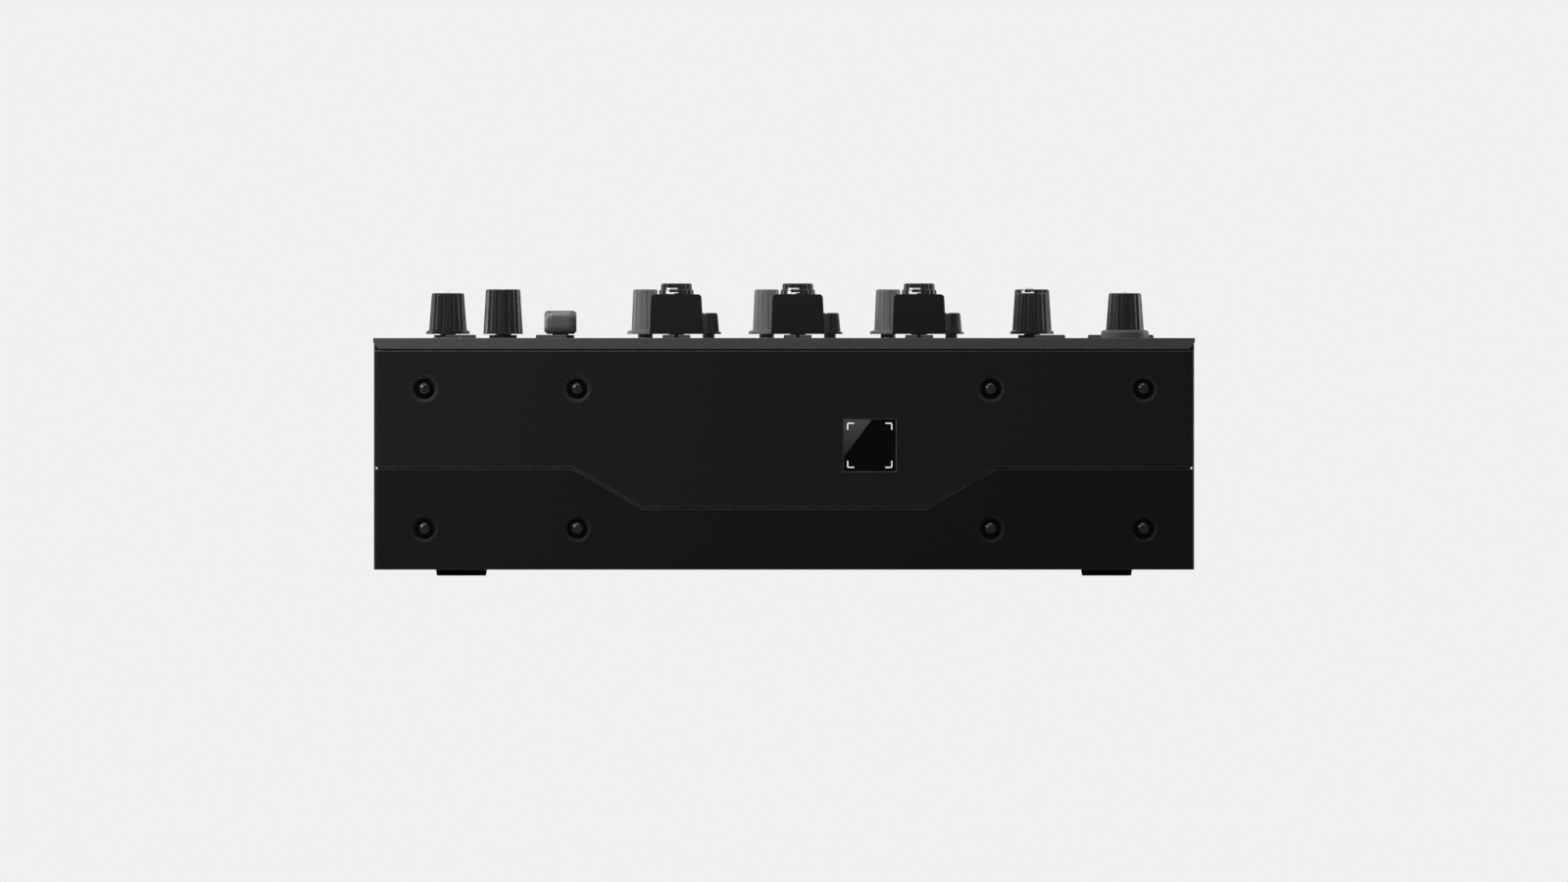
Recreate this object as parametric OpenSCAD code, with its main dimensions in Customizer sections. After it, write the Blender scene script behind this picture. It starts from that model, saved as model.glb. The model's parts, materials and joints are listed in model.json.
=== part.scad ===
// A three-channel DJ mixer: a two-part case under a folded top panel, rotary and sliding
// controls on their own shafts, the boards that carry them, and the sockets at the back.
// X runs to the right, Y to the back, Z up. The origin is under the middle, at the feet.

/* [Case] */
// Width across the side walls
case_w = 303.4; // [300:0.1:330]
// Depth from the front wall to the rear panel
case_d = 379; // [370:1:420]
// Height of the lower case
lower_h = 37.2; // [34:0.1:44]
// Height of the upper case at its sides
upper_h = 46.3; // [44:0.1:60]
// Open joint between the two case halves
seam_gap = 0.7; // [0.4:0.1:1.4]
// Thickness of the case walls
wall_t = 2.5; // [2:0.1:3.5]
// Thickness of the case floor
floor_t = 2; // [1.5:0.1:3]
// Radius of the upright case corners
corner_r = 2; // [1:0.1:3.5]
// Width of the front tongue where it leaves the joint line
tongue_top_w = 156.2; // [140:0.1:200]
// Width of the front tongue at its lower edge
tongue_foot_w = 105; // [80:0.1:130]
// Drop of the front tongue below the joint line
tongue_drop = 14.7; // [8:0.1:18]

/* [Top panel] */
// Thickness of the panel sheet
panel_t = 1.5; // [1:0.1:2.5]
// How far the panel stands out over the case walls
panel_over = 0.3; // [0.1:0.1:1.5]
// Height of the front fold below the panel's underside
fold_drop = 2.5; // [1.5:0.1:5]
// Thickness of the front fold
fold_t = 1.2; // [0.8:0.1:2]
// Sideways cut at each end of the front fold
fold_cut = 2; // [1:0.1:4]

/* [Feet and screws] */
// Height that the feet lift the case
foot_h = 2.2; // [1.5:0.1:6]
// Diameter of a foot where it meets the case
foot_top_d = 18.9; // [14:0.1:24]
// Diameter of a foot at the ground
foot_base_d = 18.1; // [12:0.1:22]
// Distance of the feet from the middle, sideways
foot_x = 119.3; // [90:0.1:130]
// Distance of the feet from the front and rear ends
foot_inset = 32; // [25:1:60]
// Diameter of a case screw's head
screw_head_d = 4.9; // [4:0.1:6]
// Diameter of a case screw's shank
screw_shank_d = 3; // [2.5:0.1:3.5]
// Length of a case screw's shank
screw_l = 8; // [6:0.5:12]
// Diameter of the recess round a screw
recess_d = 8.3; // [7:0.1:10]
// Depth of the recess round a screw
recess_depth = 2.4; // [1.5:0.1:4]
// Width of the bevel round a recess
recess_bevel = 0.7; // [0.3:0.1:1]
// Distance of the inner screws from the middle
screw_inner_x = 76.5; // [60:0.1:100]
// Distance of the outer screws from the middle
screw_outer_x = 133; // [110:0.1:140]
// Height of the lower screw row over the case floor
screw_low_z = 15.2; // [10:0.1:22]
// Height of the upper screw row over the joint line
screw_high_z = 29; // [15:0.1:34]

/* [Front window] */
// Side of the square window
window_w = 19.1; // [12:0.1:26]
// Thickness of the window
window_t = 1.5; // [1:0.1:2]
// Sideways place of the window's centre
window_x = 31.7; // [-30:0.1:36]
// Height of the window's centre over the joint line
window_z = 8.1; // [2:0.1:20]

/* [Channels] */
// Distance between channel centres
channel_pitch = 44.9; // [43:0.1:48]
// Sideways place of the middle channel
channel_x = 5.1; // [0:0.1:10]
// Place of the grey knob left of the channel's centre
grey_dx = 11.5; // [11:0.1:13]
// Place of the small knob right of the channel's centre
small_dx = 11.9; // [11:0.1:13]
// Distance of the fader's rest place from the front
fader_row = 34; // [28:0.5:45]
// Distance of the cue button from the front
cue_row = 124; // [118:0.5:130]
// Distance of the grey and small knobs from the front
side_row = 152; // [146:0.5:158]
// Distance of the low tone knob from the front
low_row = 184; // [178:0.5:190]
// Distance between tone knob rows
tone_pitch = 43; // [34:0.5:46]

/* [Side strips] */
// Distance of the outer left column from the case's side
left_inset = 27.4; // [26:0.1:32]
// Distance of the headphone level knob from the case's side
phones_inset = 47.8; // [46:0.1:52]
// Distance of the square selector from the case's side
select_inset = 69; // [66:0.1:72]
// Distance of the outer right column from the case's side
right_inset = 25.6; // [25:0.1:28]
// Distance of the inner right column from the case's side
master_inset = 60; // [58:0.1:64]
// Distance of the microphone knob from the rear end
mic_from_rear = 57; // [50:0.5:64]
// Distance of the booth knob from the rear end
booth_from_rear = 83; // [76:0.5:90]
// Distance of the master knob from the rear end
master_from_rear = 39; // [34:0.5:46]

/* [Fader] */
// Travel of the fader
fader_travel = 60; // [45:1:70]
// Width of the fader cap at its top
cap_top_w = 18.6; // [12:0.1:20]
// Width of the fader cap at its foot
cap_foot_w = 19.9; // [13:0.1:21]
// Length of the fader cap along its travel
cap_l = 12.5; // [9:0.5:16]
// Height of the fader cap's top over the panel
cap_top_z = 16.2; // [10:0.1:20]
// Open height under a knob or fader cap
knob_lift = 1.45; // [1.4:0.05:2.5]
// Width of the fader's lever, across its travel
lever_w = 1.2; // [1:0.1:2]
// Length of the fader's lever, along its travel
lever_l = 4; // [3:0.1:6]
// Width of the fader's slot in the panel
slot_w = 2.6; // [2.4:0.1:4]
// Width of the fader's frame
frame_w = 13; // [11:0.5:16]
// Depth of the fader's frame under the panel
frame_h = 11; // [9:0.5:14]
// Diameter of the two guide rods
rod_d = 1.6; // [1.2:0.1:2]

/* [Skirted knob] */
// Diameter at the top
skirted_top_d = 12; // [10:0.1:14]
// Diameter at the foot of the body
skirted_foot_d = 13.9; // [12:0.1:15]
// Height of the top over the panel
skirted_h = 16.6; // [12:0.1:22]
// Diameter of the skirt
skirted_skirt_d = 16.1; // [15:0.1:18]
// How far its pointer bar stands over the top
pointer_rise = 0.5; // [0.2:0.1:1]
// Width of the pointer bar, and of the sunk line on other knobs
pointer_w = 1.2; // [0.8:0.1:2]
// Depth of the sunk line
line_depth = 0.3; // [0.2:0.05:0.5]

/* [Plain knob] */
// Diameter at the top
plain_top_d = 12.7; // [10:0.1:14]
// Diameter at the foot
plain_foot_d = 14.6; // [13:0.1:15]
// Height of the top over the panel
plain_h = 18; // [13:0.1:24]

/* [Trim knob] */
// Diameter at the top
trim_top_d = 11.3; // [9:0.1:13]
// Diameter at the foot
trim_foot_d = 13.4; // [13:0.1:14.6]
// Height of the top over the panel
trim_h = 20.2; // [14:0.1:26]

/* [Grey knob] */
// Diameter at the top
grey_top_d = 9; // [8:0.1:10]
// Diameter at the foot of the body
grey_foot_d = 10.2; // [9.5:0.1:11]
// Height of the top over the panel
grey_h = 18; // [12:0.1:22]
// Diameter of the flared skirt
grey_skirt_d = 13.3; // [12:0.1:14]
// Diameter of the shaft under it
grey_shaft_d = 5.5; // [4:0.1:6]

/* [Small knob] */
// Diameter at the top
small_top_d = 6.7; // [6:0.1:8]
// Diameter at the foot of the body
small_foot_d = 7.8; // [7:0.1:9]
// Height of the top over the panel
small_h = 9.3; // [7:0.1:14]
// Diameter of the skirt
small_skirt_d = 9.3; // [8.5:0.1:11]
// Diameter of the shaft under it
small_shaft_d = 4.4; // [3:0.1:5]

/* [Square selector] */
// Width of the cap across its flats
square_w = 11.9; // [10:0.1:14]
// Height of the top over the panel
square_h = 10.1; // [8:0.1:14]
// Width of the cut across its upright corners
square_cut = 1.3; // [0.6:0.1:2]

/* [Potentiometers] */
// Diameter of the turning shaft
shaft_d = 6; // [5:0.1:6.4]
// Diameter of the threaded bushing
bushing_d = 8.4; // [8.2:0.1:9]
// Width of the nut across its flats
nut_af = 10.2; // [9.8:0.1:11]
// Height of the nut
nut_h = 1.1; // [0.8:0.1:1.1]
// Width of the body under the panel
pot_w = 11; // [10:0.1:11.4]
// Height of the body under the panel
pot_h = 7; // [5:0.5:9]

/* [Buttons] */
// Length of a button, front to back
button_l = 7; // [5:0.1:9]
// Height of a button over the panel
button_h = 1.2; // [0.9:0.1:2]
// Width of a cue button
cue_w = 10.4; // [8:0.1:11]
// Width of the side buttons
side_button_w = 11.4; // [9:0.1:11.8]
// Width of the round effect button
effect_d = 17.6; // [14:0.1:20]
// Height of the round effect button
effect_h = 2.9; // [2:0.1:4]
// Travel of a button
button_travel = 0.5; // [0.3:0.1:0.8]

/* [Meters and display] */
// Width of a level meter
meter_w = 4; // [3:0.1:6]
// Length of a level meter
meter_l = 122; // [80:1:128]
// Width of the display
display_w = 50; // [30:1:56]
// Length of the display, front to back
display_l = 34; // [20:1:40]
// From the display's middle to the case's right side
display_inset = 35.7; // [30:0.1:45]

/* [Rear sockets] */
// How far the phono sockets reach behind the rear panel
phono_reach = 9; // [8.5:0.1:11]
// Diameter of a phono socket's shell
phono_d = 8.3; // [7.8:0.1:8.6]
// Diameter of a 6.3 mm jack's hole
jack_bore_d = 6.4; // [6.35:0.05:6.6]
// Diameter of a jack's threaded neck
jack_neck_d = 11; // [10:0.1:13]
// Diameter of an XLR socket's opening
xlr_d = 19.2; // [18.8:0.1:20]
// Thickness of the rear panel
rear_t = 1.5; // [1:0.1:2]

/* [Hidden] */
$fn = 48;
eps = 0.01;              // small overlap that keeps joined shapes one solid
fit = 0.3;               // clearance between a piece and the opening it sits in
shaft_fit = 0.05;        // clearance of a knob's bore on its shaft
thread_fit = 0.05;       // clearance of a screw or a pressed foot in the piece that holds it
rim_t = 1.2;             // thickness of the rim along the seam
seat_t = 1;              // thickness of the window's seat behind the wall
depth = panel_over + case_d + phono_reach;
front_y = panel_over - depth / 2;
rear_y = front_y + case_d;
floor_z = foot_h + floor_t;
seam_z = foot_h + lower_h;
upper_z = seam_z + seam_gap;
deck_z = upper_z + upper_h;
top_z = deck_z + panel_t;
inner_w = case_w - 2 * wall_t;
left_x = case_w / 2 - left_inset;
column_x = case_w / 2 - phones_inset;
select_x = case_w / 2 - select_inset;
right_x = case_w / 2 - right_inset;
master_x = case_w / 2 - master_inset;
through = 10;            // length of a cut that goes right through a sheet

CHANNELS = [1, 2, 3];
// Rotary controls: name, style, x, distance from the front, rest angle from straight back.
function channel_at(c) = channel_x + (c - 2) * channel_pitch;
LEVEL_REST = 150;        // a level knob at rest points to its lower stop, front left
CHANNEL_KNOBS = [for (c = CHANNELS) each [
    [str("ch", c, "_trim_knob"), "trim", channel_at(c), low_row + 3 * tone_pitch, 0],
    [str("ch", c, "_high_knob"), "plain", channel_at(c), low_row + 2 * tone_pitch, LEVEL_REST],
    [str("ch", c, "_mid_knob"), "plain", channel_at(c), low_row + tone_pitch, LEVEL_REST],
    [str("ch", c, "_low_knob"), "plain", channel_at(c), low_row, LEVEL_REST],
    [str("ch", c, "_filter_knob"), "grey", channel_at(c) - grey_dx, side_row, 0],
    [str("ch", c, "_send_knob"), "small", channel_at(c) + small_dx, side_row, LEVEL_REST]]];
SIDE_KNOBS = [
    ["mic_level_knob", "skirted", -left_x, case_d - mic_from_rear, 0],
    ["headphone_level_knob", "plain", -column_x, 96, 0],
    ["effect_selector_knob", "square", -select_x, 227, 0],
    ["master_level_knob", "plain", master_x, case_d - master_from_rear, LEVEL_REST],
    ["booth_level_knob", "skirted", master_x, case_d - booth_from_rear, 0],
    ["effect_depth_knob", "skirted", right_x, 118, 0]];
KNOBS = concat(CHANNEL_KNOBS, SIDE_KNOBS);

// Flat buttons: name, x, distance from the front, width.
BUTTONS = concat(
    [for (c = CHANNELS) [str("ch", c, "_cue_button"), channel_at(c), cue_row, cue_w]],
    [["mic_button", 4.7 - left_x, case_d - mic_from_rear - 42, side_button_w],
     ["link_button", -select_x - 3.4, side_row, side_button_w],
     ["tap_button", master_x + 6.6, side_row, side_button_w],
     ["beat_down_button", right_x - 8, low_row, side_button_w],
     ["beat_up_button", right_x + 4.9, low_row, side_button_w]]);
effect_button_row = 66;

// ---------- helpers ----------

// Points of an arc about c, from angle a0 to a1.
function arc(c, r, a0, a1, steps = 6) =
    [for (i = [0:steps]) let (a = a0 + (a1 - a0) * i / steps) c + r * [cos(a), sin(a)]];

// A place on the panel, given its distance from the front wall.
module on_panel(x, row, z = top_z) {
    translate([x, front_y + row, z])
        children();
}

// A box centred in X and Y, standing on z = 0.
module block(w, l, h) {
    translate([-w / 2, -l / 2, 0])
        cube([w, l, h]);
}

// A rectangle with round corners, from two bars and four discs.
module round_rect(w, l, r) {
    square([w - 2 * r, l], center = true);
    square([w, l - 2 * r], center = true);
    for (x = [-1, 1])
        for (y = [-1, 1])
            translate([x * (w / 2 - r), y * (l / 2 - r)])
                circle(r = r);
}

// Turns a shape drawn in X and Z so that its depth runs from y to y + d.
module upright(y, d) {
    translate([0, y + d, 0])
        rotate([90, 0, 0])
            linear_extrude(d)
                children();
}

// A place along the rear panel, as a share of the way from the middle to a side wall.
function rear_at(share) = share * inner_w / 2;

// A bore or post that points out of the rear panel.
module rearward(x, z, y = rear_y) {
    translate([x, y, z])
        rotate([-90, 0, 0])
            children();
}

// ---------- case ----------

// The case's plan, with its round upright corners.
module case_plan() {
    translate([0, front_y + case_d / 2])
        round_rect(case_w, case_d, corner_r);
}

// The hollow of the case, open at the back where the rear panel sits.
module case_hollow(z, h) {
    translate([-inner_w / 2, front_y + wall_t, z])
        cube([inner_w, case_d, h]);
}

// Front view of the tongue, with its lower edge at the given height.
module tongue_outline(joint_z) {
    polygon([[-tongue_top_w / 2, joint_z], [-tongue_foot_w / 2, joint_z - tongue_drop],
             [tongue_foot_w / 2, joint_z - tongue_drop], [tongue_top_w / 2, joint_z],
             [tongue_top_w / 2, joint_z + 2], [-tongue_top_w / 2, joint_z + 2]]);
}

// The rim along the inner side of the lower case's walls, which the upper case stands on.
module seam_rim() {
    outer_part = wall_t - rim_t;
    translate([outer_part - case_w / 2, front_y + outer_part, seam_z - eps])
        cube([case_w - 2 * outer_part, case_d - outer_part, seam_gap + eps]);
}

SCREW_X = [-screw_outer_x, -screw_inner_x, screw_inner_x, screw_outer_x];
screw_rows = [floor_z + screw_low_z - floor_t, upper_z + screw_high_z];

// A thick place behind the wall that holds a screw.
module screw_boss(x, z) {
    rearward(x, z, front_y + wall_t - eps)
        cylinder(d = recess_d + 2 * wall_t, h = recess_depth);
}

// The bevelled recess and the hole that a screw passes through.
module screw_recess(x, z) {
    rearward(x, z, front_y - eps) {
        cylinder(d = recess_d, h = recess_depth + eps);
        cylinder(d1 = recess_d + 2 * recess_bevel, d2 = recess_d, h = recess_bevel);
        cylinder(d = screw_shank_d + 2 * fit, h = 4 * wall_t);
    }
}

module foot_places() {
    for (x = [-foot_x, foot_x])
        for (y = [front_y + foot_inset, rear_y - foot_inset])
            translate([x, y, 0])
                children();
}

module board_post(x, y, z, h) {
    translate([x, y, z - eps])
        cylinder(d = 7, h = h + eps);
}

vent_count = 10;
vent_slot_w = 3;
vent_pitch = 7;
vent_l = 40;
vent_h = 22;             // height of the slots in the side walls
side_vent_z = 14;        // height of those slots over the joint line
floor_vent_x = 60;
floor_vent_y = 40;
side_vent_inset = 50;    // distance of the first side slot from the rear end

module floor_vents() {
    for (side = [-1, 1])
        for (i = [0:vent_count - 1])
            translate([side * floor_vent_x + (i - (vent_count - 1) / 2) * vent_pitch, floor_vent_y,
                       foot_h - 1])
                block(vent_slot_w, vent_l, floor_t + 2);
}

module side_vents() {
    for (side = [-1, 1])
        for (i = [0:vent_count - 1])
            translate([side * (case_w - wall_t) / 2, rear_y - side_vent_inset - i * vent_pitch,
                       upper_z + side_vent_z])
                block(2 * wall_t, vent_slot_w, vent_h);
}

supply_w = 62;
supply_l = 150;
supply_h = 42;
supply_wall = 1;
supply_gap = 6;          // clearance of the supply from the side wall
supply_rear = 45;        // clearance of the supply from the rear panel
supply_slots = 10;
board_lift = 7;
board_t = 1.6;
board_side = 14.2;       // clearance of the main board from the side wall
board_gap = 16.2;        // clearance between the main board and the supply
board_rear = 24;         // clearance of the main board from the rear panel
main_board_w = inner_w - supply_w - supply_gap - board_side - board_gap;
main_board_l = 250;
main_board_x = board_side + (main_board_w - inner_w) / 2;
main_board_y = rear_y - board_rear - main_board_l / 2;
post_inset = 6;          // distance of a post from the main board's edges

module board_posts() {
    for (x = [-1, 1])
        for (y = [-1, 1])
            board_post(main_board_x + x * (main_board_w / 2 - post_inset),
                       main_board_y + y * (main_board_l / 2 - post_inset), floor_z, board_lift);
}

// The screws that hold the rear panel: one in each corner, two more in the lower row.
rear_inset = 8.2;        // distance of a corner screw from the side wall
rear_corner_x = [rear_inset - inner_w / 2, inner_w / 2 - rear_inset];
rear_middle_x = [rear_at(-0.375), rear_at(0.19)];
rear_screw_z = [foot_h + 10, deck_z - 8];
REAR_SCREWS = concat([for (x = rear_corner_x) for (z = rear_screw_z) [x, z]],
                     [for (x = rear_middle_x) [x, rear_screw_z[0]]]);
lug_w = 10;              // width of a lug that a rear screw bites into
lug_l = 8;               // length of a lug, front to back

// A lug behind the rear panel, between two heights.
module rear_lug(x, z0, z1) {
    translate([x, rear_y - rear_t - lug_l / 2, z0])
        block(lug_w, lug_l, z1 - z0);
}

// A lug on a side wall of the upper case.
module side_lug(side) {
    inner_end = rear_corner_x[1] - lug_w / 2;
    translate([side * (inner_end + inner_w / 2) / 2, rear_y - rear_t - lug_l / 2,
               rear_screw_z[1] - lug_w / 2])
        block(inner_w / 2 - inner_end + eps, lug_l, lug_w);
}

module rear_screw_bores() {
    for (s = REAR_SCREWS)
        rearward(s[0], s[1], rear_y - rear_t - 2 * lug_l)
            cylinder(d = screw_shank_d + 2 * thread_fit, h = 3 * lug_l);
}

// The lower case: a tray with a stepped rim, and a notch in its front wall for the tongue.
module lower_case() {
    color("#161617")
        difference() {
            union() {
                difference() {
                    union() {
                        translate([0, 0, foot_h])
                            linear_extrude(lower_h)
                                case_plan();
                        seam_rim();
                    }
                    case_hollow(floor_z, lower_h + seam_gap);
                }
                for (x = SCREW_X)
                    screw_boss(x, screw_rows[0]);
                board_posts();
                for (x = concat(rear_corner_x, rear_middle_x))
                    rear_lug(x, floor_z - eps, rear_screw_z[0] + lug_w / 2);
            }
            upright(front_y - 1, 1 + wall_t - rim_t)
                tongue_outline(seam_z);
            upright(front_y, wall_t + 1)
                tongue_outline(upper_z);
            for (x = SCREW_X)
                screw_recess(x, screw_rows[0]);
            rear_screw_bores();
            floor_vents();
            foot_places()
                translate([0, 0, foot_h - 1])
                    cylinder(d = foot_screw_d, h = floor_t + 2);
        }
}

// The upper case: walls on three sides, with the tongue, the window's seat and a rebate
// for the panel's front fold.
module upper_case() {
    color("#1c1c1d")
        difference() {
            union() {
                difference() {
                    translate([0, 0, upper_z])
                        linear_extrude(upper_h)
                            case_plan();
                    case_hollow(upper_z - 1, upper_h + 2);
                }
                upright(front_y, wall_t)
                    tongue_outline(upper_z);
                for (x = SCREW_X)
                    screw_boss(x, screw_rows[1]);
                translate([window_x, front_y + wall_t + seat_t, upper_z + window_z])
                    rotate([90, 0, 0])
                        block(window_w + 6, window_w + 6, seat_t + eps);
                for (side = [-1, 1])
                    side_lug(side);
            }
            for (x = SCREW_X)
                screw_recess(x, screw_rows[1]);
            rear_screw_bores();
            translate([-case_w / 2 - 1, front_y - 1, deck_z - fold_drop - seam_gap])
                cube([case_w + 2, 1 + fold_t - panel_over + fit, fold_drop + seam_gap + 1]);
            translate([window_x, front_y + window_t + fit / 2, upper_z + window_z])
                rotate([90, 0, 0])
                    block(window_w + fit, window_w + fit, window_t + 1);
            side_vents();
        }
}

module front_window() {
    color("#08080a")
        translate([window_x, front_y + window_t, upper_z + window_z])
            rotate([90, 0, 0])
                linear_extrude(window_t)
                    round_rect(window_w, window_w, 0.6);
}

// A pan-head screw with a cross recess, its shank along +Z from the head's seat.
module pan_screw() {
    head_h = 0.45 * screw_head_d;
    dome_r = screw_head_d * 0.66;
    difference() {
        union() {
            intersection() {
                translate([0, 0, -head_h])
                    cylinder(d = screw_head_d, h = head_h);
                translate([0, 0, dome_r - head_h])
                    sphere(r = dome_r);
            }
            translate([0, 0, -eps])
                cylinder(d = screw_shank_d, h = screw_l);
        }
        for (turn = [0, 90])
            rotate([0, 0, turn])
                translate([0, 0, -head_h - eps])
                    block(0.7, screw_head_d * 0.6, 1.1);
    }
}

module case_screws() {
    color("#0c0c0d") {
        for (x = SCREW_X)
            for (z = screw_rows)
                rearward(x, z, front_y + recess_depth)
                    pan_screw();
        for (s = REAR_SCREWS)
            rearward(s[0], s[1], rear_y)
                mirror([0, 0, 1])
                    pan_screw();
    }
}

foot_screw_d = 3.4;
foot_bore_d = 8;

// Four round rubber feet, each with a sunk place for its screw.
module rubber_feet() {
    color("#101011")
        foot_places()
            difference() {
                cylinder(d1 = foot_base_d, d2 = foot_top_d, h = foot_h);
                translate([0, 0, -eps])
                    cylinder(d = foot_bore_d, h = foot_h / 2);
                translate([0, 0, -eps])
                    cylinder(d = foot_screw_d, h = foot_h + 1);
            }
}

bracket_t = 1.2;         // thickness of the front bracket's sheet
bracket_l = 12;          // depth of its flanges
bracket_end = 8;         // how far it ends from the side walls

// The folded steel bracket behind the front wall: the eight front screws bite into it, it
// stands on the case floor and carries the panel's front.
module front_bracket() {
    bracket_y = front_y + wall_t + recess_depth;
    bracket_w = inner_w - 2 * bracket_end;
    color("#8a8c90")
        difference() {
            translate([0, bracket_y + bracket_l / 2, floor_z])
                block(bracket_w, bracket_l, deck_z - floor_z);
            translate([0, bracket_y + bracket_t + bracket_l / 2, floor_z + bracket_t])
                block(bracket_w + 2, bracket_l, deck_z - floor_z - 2 * bracket_t);
            for (x = SCREW_X)
                for (z = screw_rows)
                    rearward(x, z, bracket_y - 1)
                        cylinder(d = screw_shank_d + 2 * thread_fit, h = bracket_t + 2);
            for (x = [-2:2])
                translate([x * bracket_w / 5, bracket_y - 1, (floor_z + deck_z) / 2])
                    rotate([-90, 0, 0])
                        linear_extrude(bracket_t + 2)
                            round_rect(bracket_w / 5 - 24, (deck_z - floor_z) / 3, 3);
        }
}

// ---------- top panel ----------

bushing_hole_d = bushing_d + 2 * fit;
slot_l = fader_travel + lever_l + 4;
fader_mid_row = fader_row + fader_travel / 2;
meter_dx = 14;
meter_row = low_row + 1.5 * tone_pitch;
display_x = case_w / 2 - display_inset;
display_row = 234;
phones_x = -left_x;
phones_row = 40;
mini_row = 64;
mini_neck_d = 8;

function has_nut(style) = style != "grey" && style != "small";
function shaft_of(style) =
    style == "grey" ? grey_shaft_d : style == "small" ? small_shaft_d : shaft_d;
function hole_of(style) = has_nut(style) ? bushing_hole_d : shaft_of(style) + 4 * fit;

module panel_holes() {
    for (k = KNOBS)
        on_panel(k[2], k[3], deck_z - 1)
            cylinder(d = hole_of(k[1]), h = panel_t + 2);
    for (b = BUTTONS)
        on_panel(b[1], b[2], deck_z - 1)
            block(b[3] + 2 * fit, button_l + 2 * fit, panel_t + 2);
    on_panel(right_x, effect_button_row, deck_z - 1)
        cylinder(d = effect_d + 2 * fit, h = panel_t + 2);
    for (c = CHANNELS) {
        on_panel(channel_at(c), fader_mid_row, deck_z - 1)
            block(slot_w, slot_l, panel_t + 2);
        on_panel(channel_at(c) + meter_dx, meter_row, deck_z - 1)
            block(meter_w + fit, meter_l + fit, panel_t + 2);
    }
    on_panel(display_x, display_row, deck_z - 1)
        block(display_w + fit, display_l + fit, panel_t + 2);
    on_panel(phones_x, phones_row, deck_z - 1)
        cylinder(d = jack_neck_d + fit, h = panel_t + 2);
    on_panel(phones_x, mini_row, deck_z - 1)
        cylinder(d = mini_neck_d + fit, h = panel_t + 2);
}

panel_w = case_w + 2 * panel_over;

// Front view of the fold, its ends cut back below the sheet.
module fold_outline() {
    polygon([[-panel_w / 2, deck_z], [-panel_w / 2 + fold_cut, deck_z - fold_drop],
             [panel_w / 2 - fold_cut, deck_z - fold_drop], [panel_w / 2, deck_z],
             [panel_w / 2, deck_z + eps], [-panel_w / 2, deck_z + eps]]);
}

// The top panel: one sheet with its front edge folded down.
module top_panel() {
    color("#232324")
        difference() {
            union() {
                translate([-panel_w / 2, front_y - panel_over, deck_z])
                    cube([panel_w, case_d + panel_over, panel_t]);
                upright(front_y - panel_over, fold_t)
                    fold_outline();
            }
            panel_holes();
        }
}

// ---------- knobs ----------

knob_bore_l = 9;         // how far a shaft reaches into its knob
shaft_drop = 8;          // how far a shaft reaches below the panel's underside
edge_r = 0.7;            // round edge at a knob's top
cap_wall = 1.3;          // wall of a knob's cap
skirt_h = 1.6;           // height of a knob's skirt
small_skirt_h = 1;       // height of the small knob's skirt
rim_h = 0.2;             // height of the upright rim at a plain knob's foot
groove_count = 12;       // grooves round a knob
groove_depth = 0.5;      // how deep a groove is cut

// A round knob on its shaft, at z = 0 on the panel. Grooves run down its tapered side. Its
// reading is along +X: a bar raised on its top, or a line sunk in its top and side.
module round_knob(top_d, foot_d, h, skirt_d, skirt_h, shaft, grooves, groove_depth, rise = 0) {
    body_z = knob_lift + skirt_h;
    body_h = h - body_z;
    lean = atan((foot_d - top_d) / 2 / body_h);
    groove_r = foot_d * PI / grooves / 2.6;
    bore = shaft + 2 * shaft_fit;
    difference() {
        union() {
            rotate_extrude()
                polygon(concat(
                    [[0, knob_lift], [skirt_d / 2, knob_lift],
                     [skirt_d / 2, knob_lift + skirt_h * 0.6],
                     [foot_d / 2, body_z]],
                    arc([top_d / 2 - edge_r, h - edge_r], edge_r, 0, 90, 4),
                    [[0, h]]));
            if (rise > 0)
                translate([top_d / 4, 0, h - edge_r])
                    block(top_d / 2 - edge_r * 0.8, pointer_w, edge_r + rise);
        }
        if (rise == 0) {
            translate([top_d * 0.3, 0, h - line_depth])
                block(top_d * 0.45, pointer_w, 1);
            translate([foot_d / 2 - (foot_d - top_d) / 6, 0, body_z + body_h / 3])
                rotate([0, -lean, 0])
                    block(2 * line_depth, pointer_w, body_h);
        }
        for (i = [0:grooves - 1])
            rotate([0, 0, (i + 0.5) * 360 / grooves])
                translate([foot_d / 2 + groove_r - groove_depth, 0, body_z])
                    rotate([0, -lean, 0])
                        cylinder(r = groove_r, h = body_h * 1.2);
        difference() {
            translate([0, 0, knob_lift - eps])
                cylinder(d = foot_d - 2 * cap_wall - 2 * groove_depth, h = body_h * 0.4);
            cylinder(d = shaft + 2 * cap_wall, h = h);
        }
        translate([0, 0, knob_lift - eps])
            cylinder(d = bore, h = min(knob_bore_l, h - knob_lift - cap_wall) + shaft_fit);
    }
    knob_shaft(shaft, min(knob_bore_l, h - knob_lift - cap_wall));
}

// The metal shaft, from inside the knob to inside its potentiometer.
module knob_shaft(shaft, reach) {
    translate([0, 0, -panel_t - shaft_drop])
        cylinder(d = shaft, h = panel_t + shaft_drop + knob_lift + reach - shaft_fit);
}

// Plan of the square selector, with its upright corners cut.
module square_outline() {
    half = square_w / 2;
    flat = half - square_cut;
    polygon([[-half, -flat], [-flat, -half], [flat, -half], [half, -flat],
             [half, flat], [flat, half], [-flat, half], [-half, flat]]);
}

// Side view of the square selector, with round upper edges.
module square_side() {
    half = square_w / 2;
    round_r = 1.4;
    upright(-square_w, 2 * square_w)
        polygon(concat([[-half, knob_lift + 1], [1 - half, knob_lift],
                        [half - 1, knob_lift], [half, knob_lift + 1]],
                       arc([half - round_r, square_h - round_r], round_r, 0, 90),
                       arc([round_r - half, square_h - round_r], round_r, 90, 180)));
}

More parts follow.
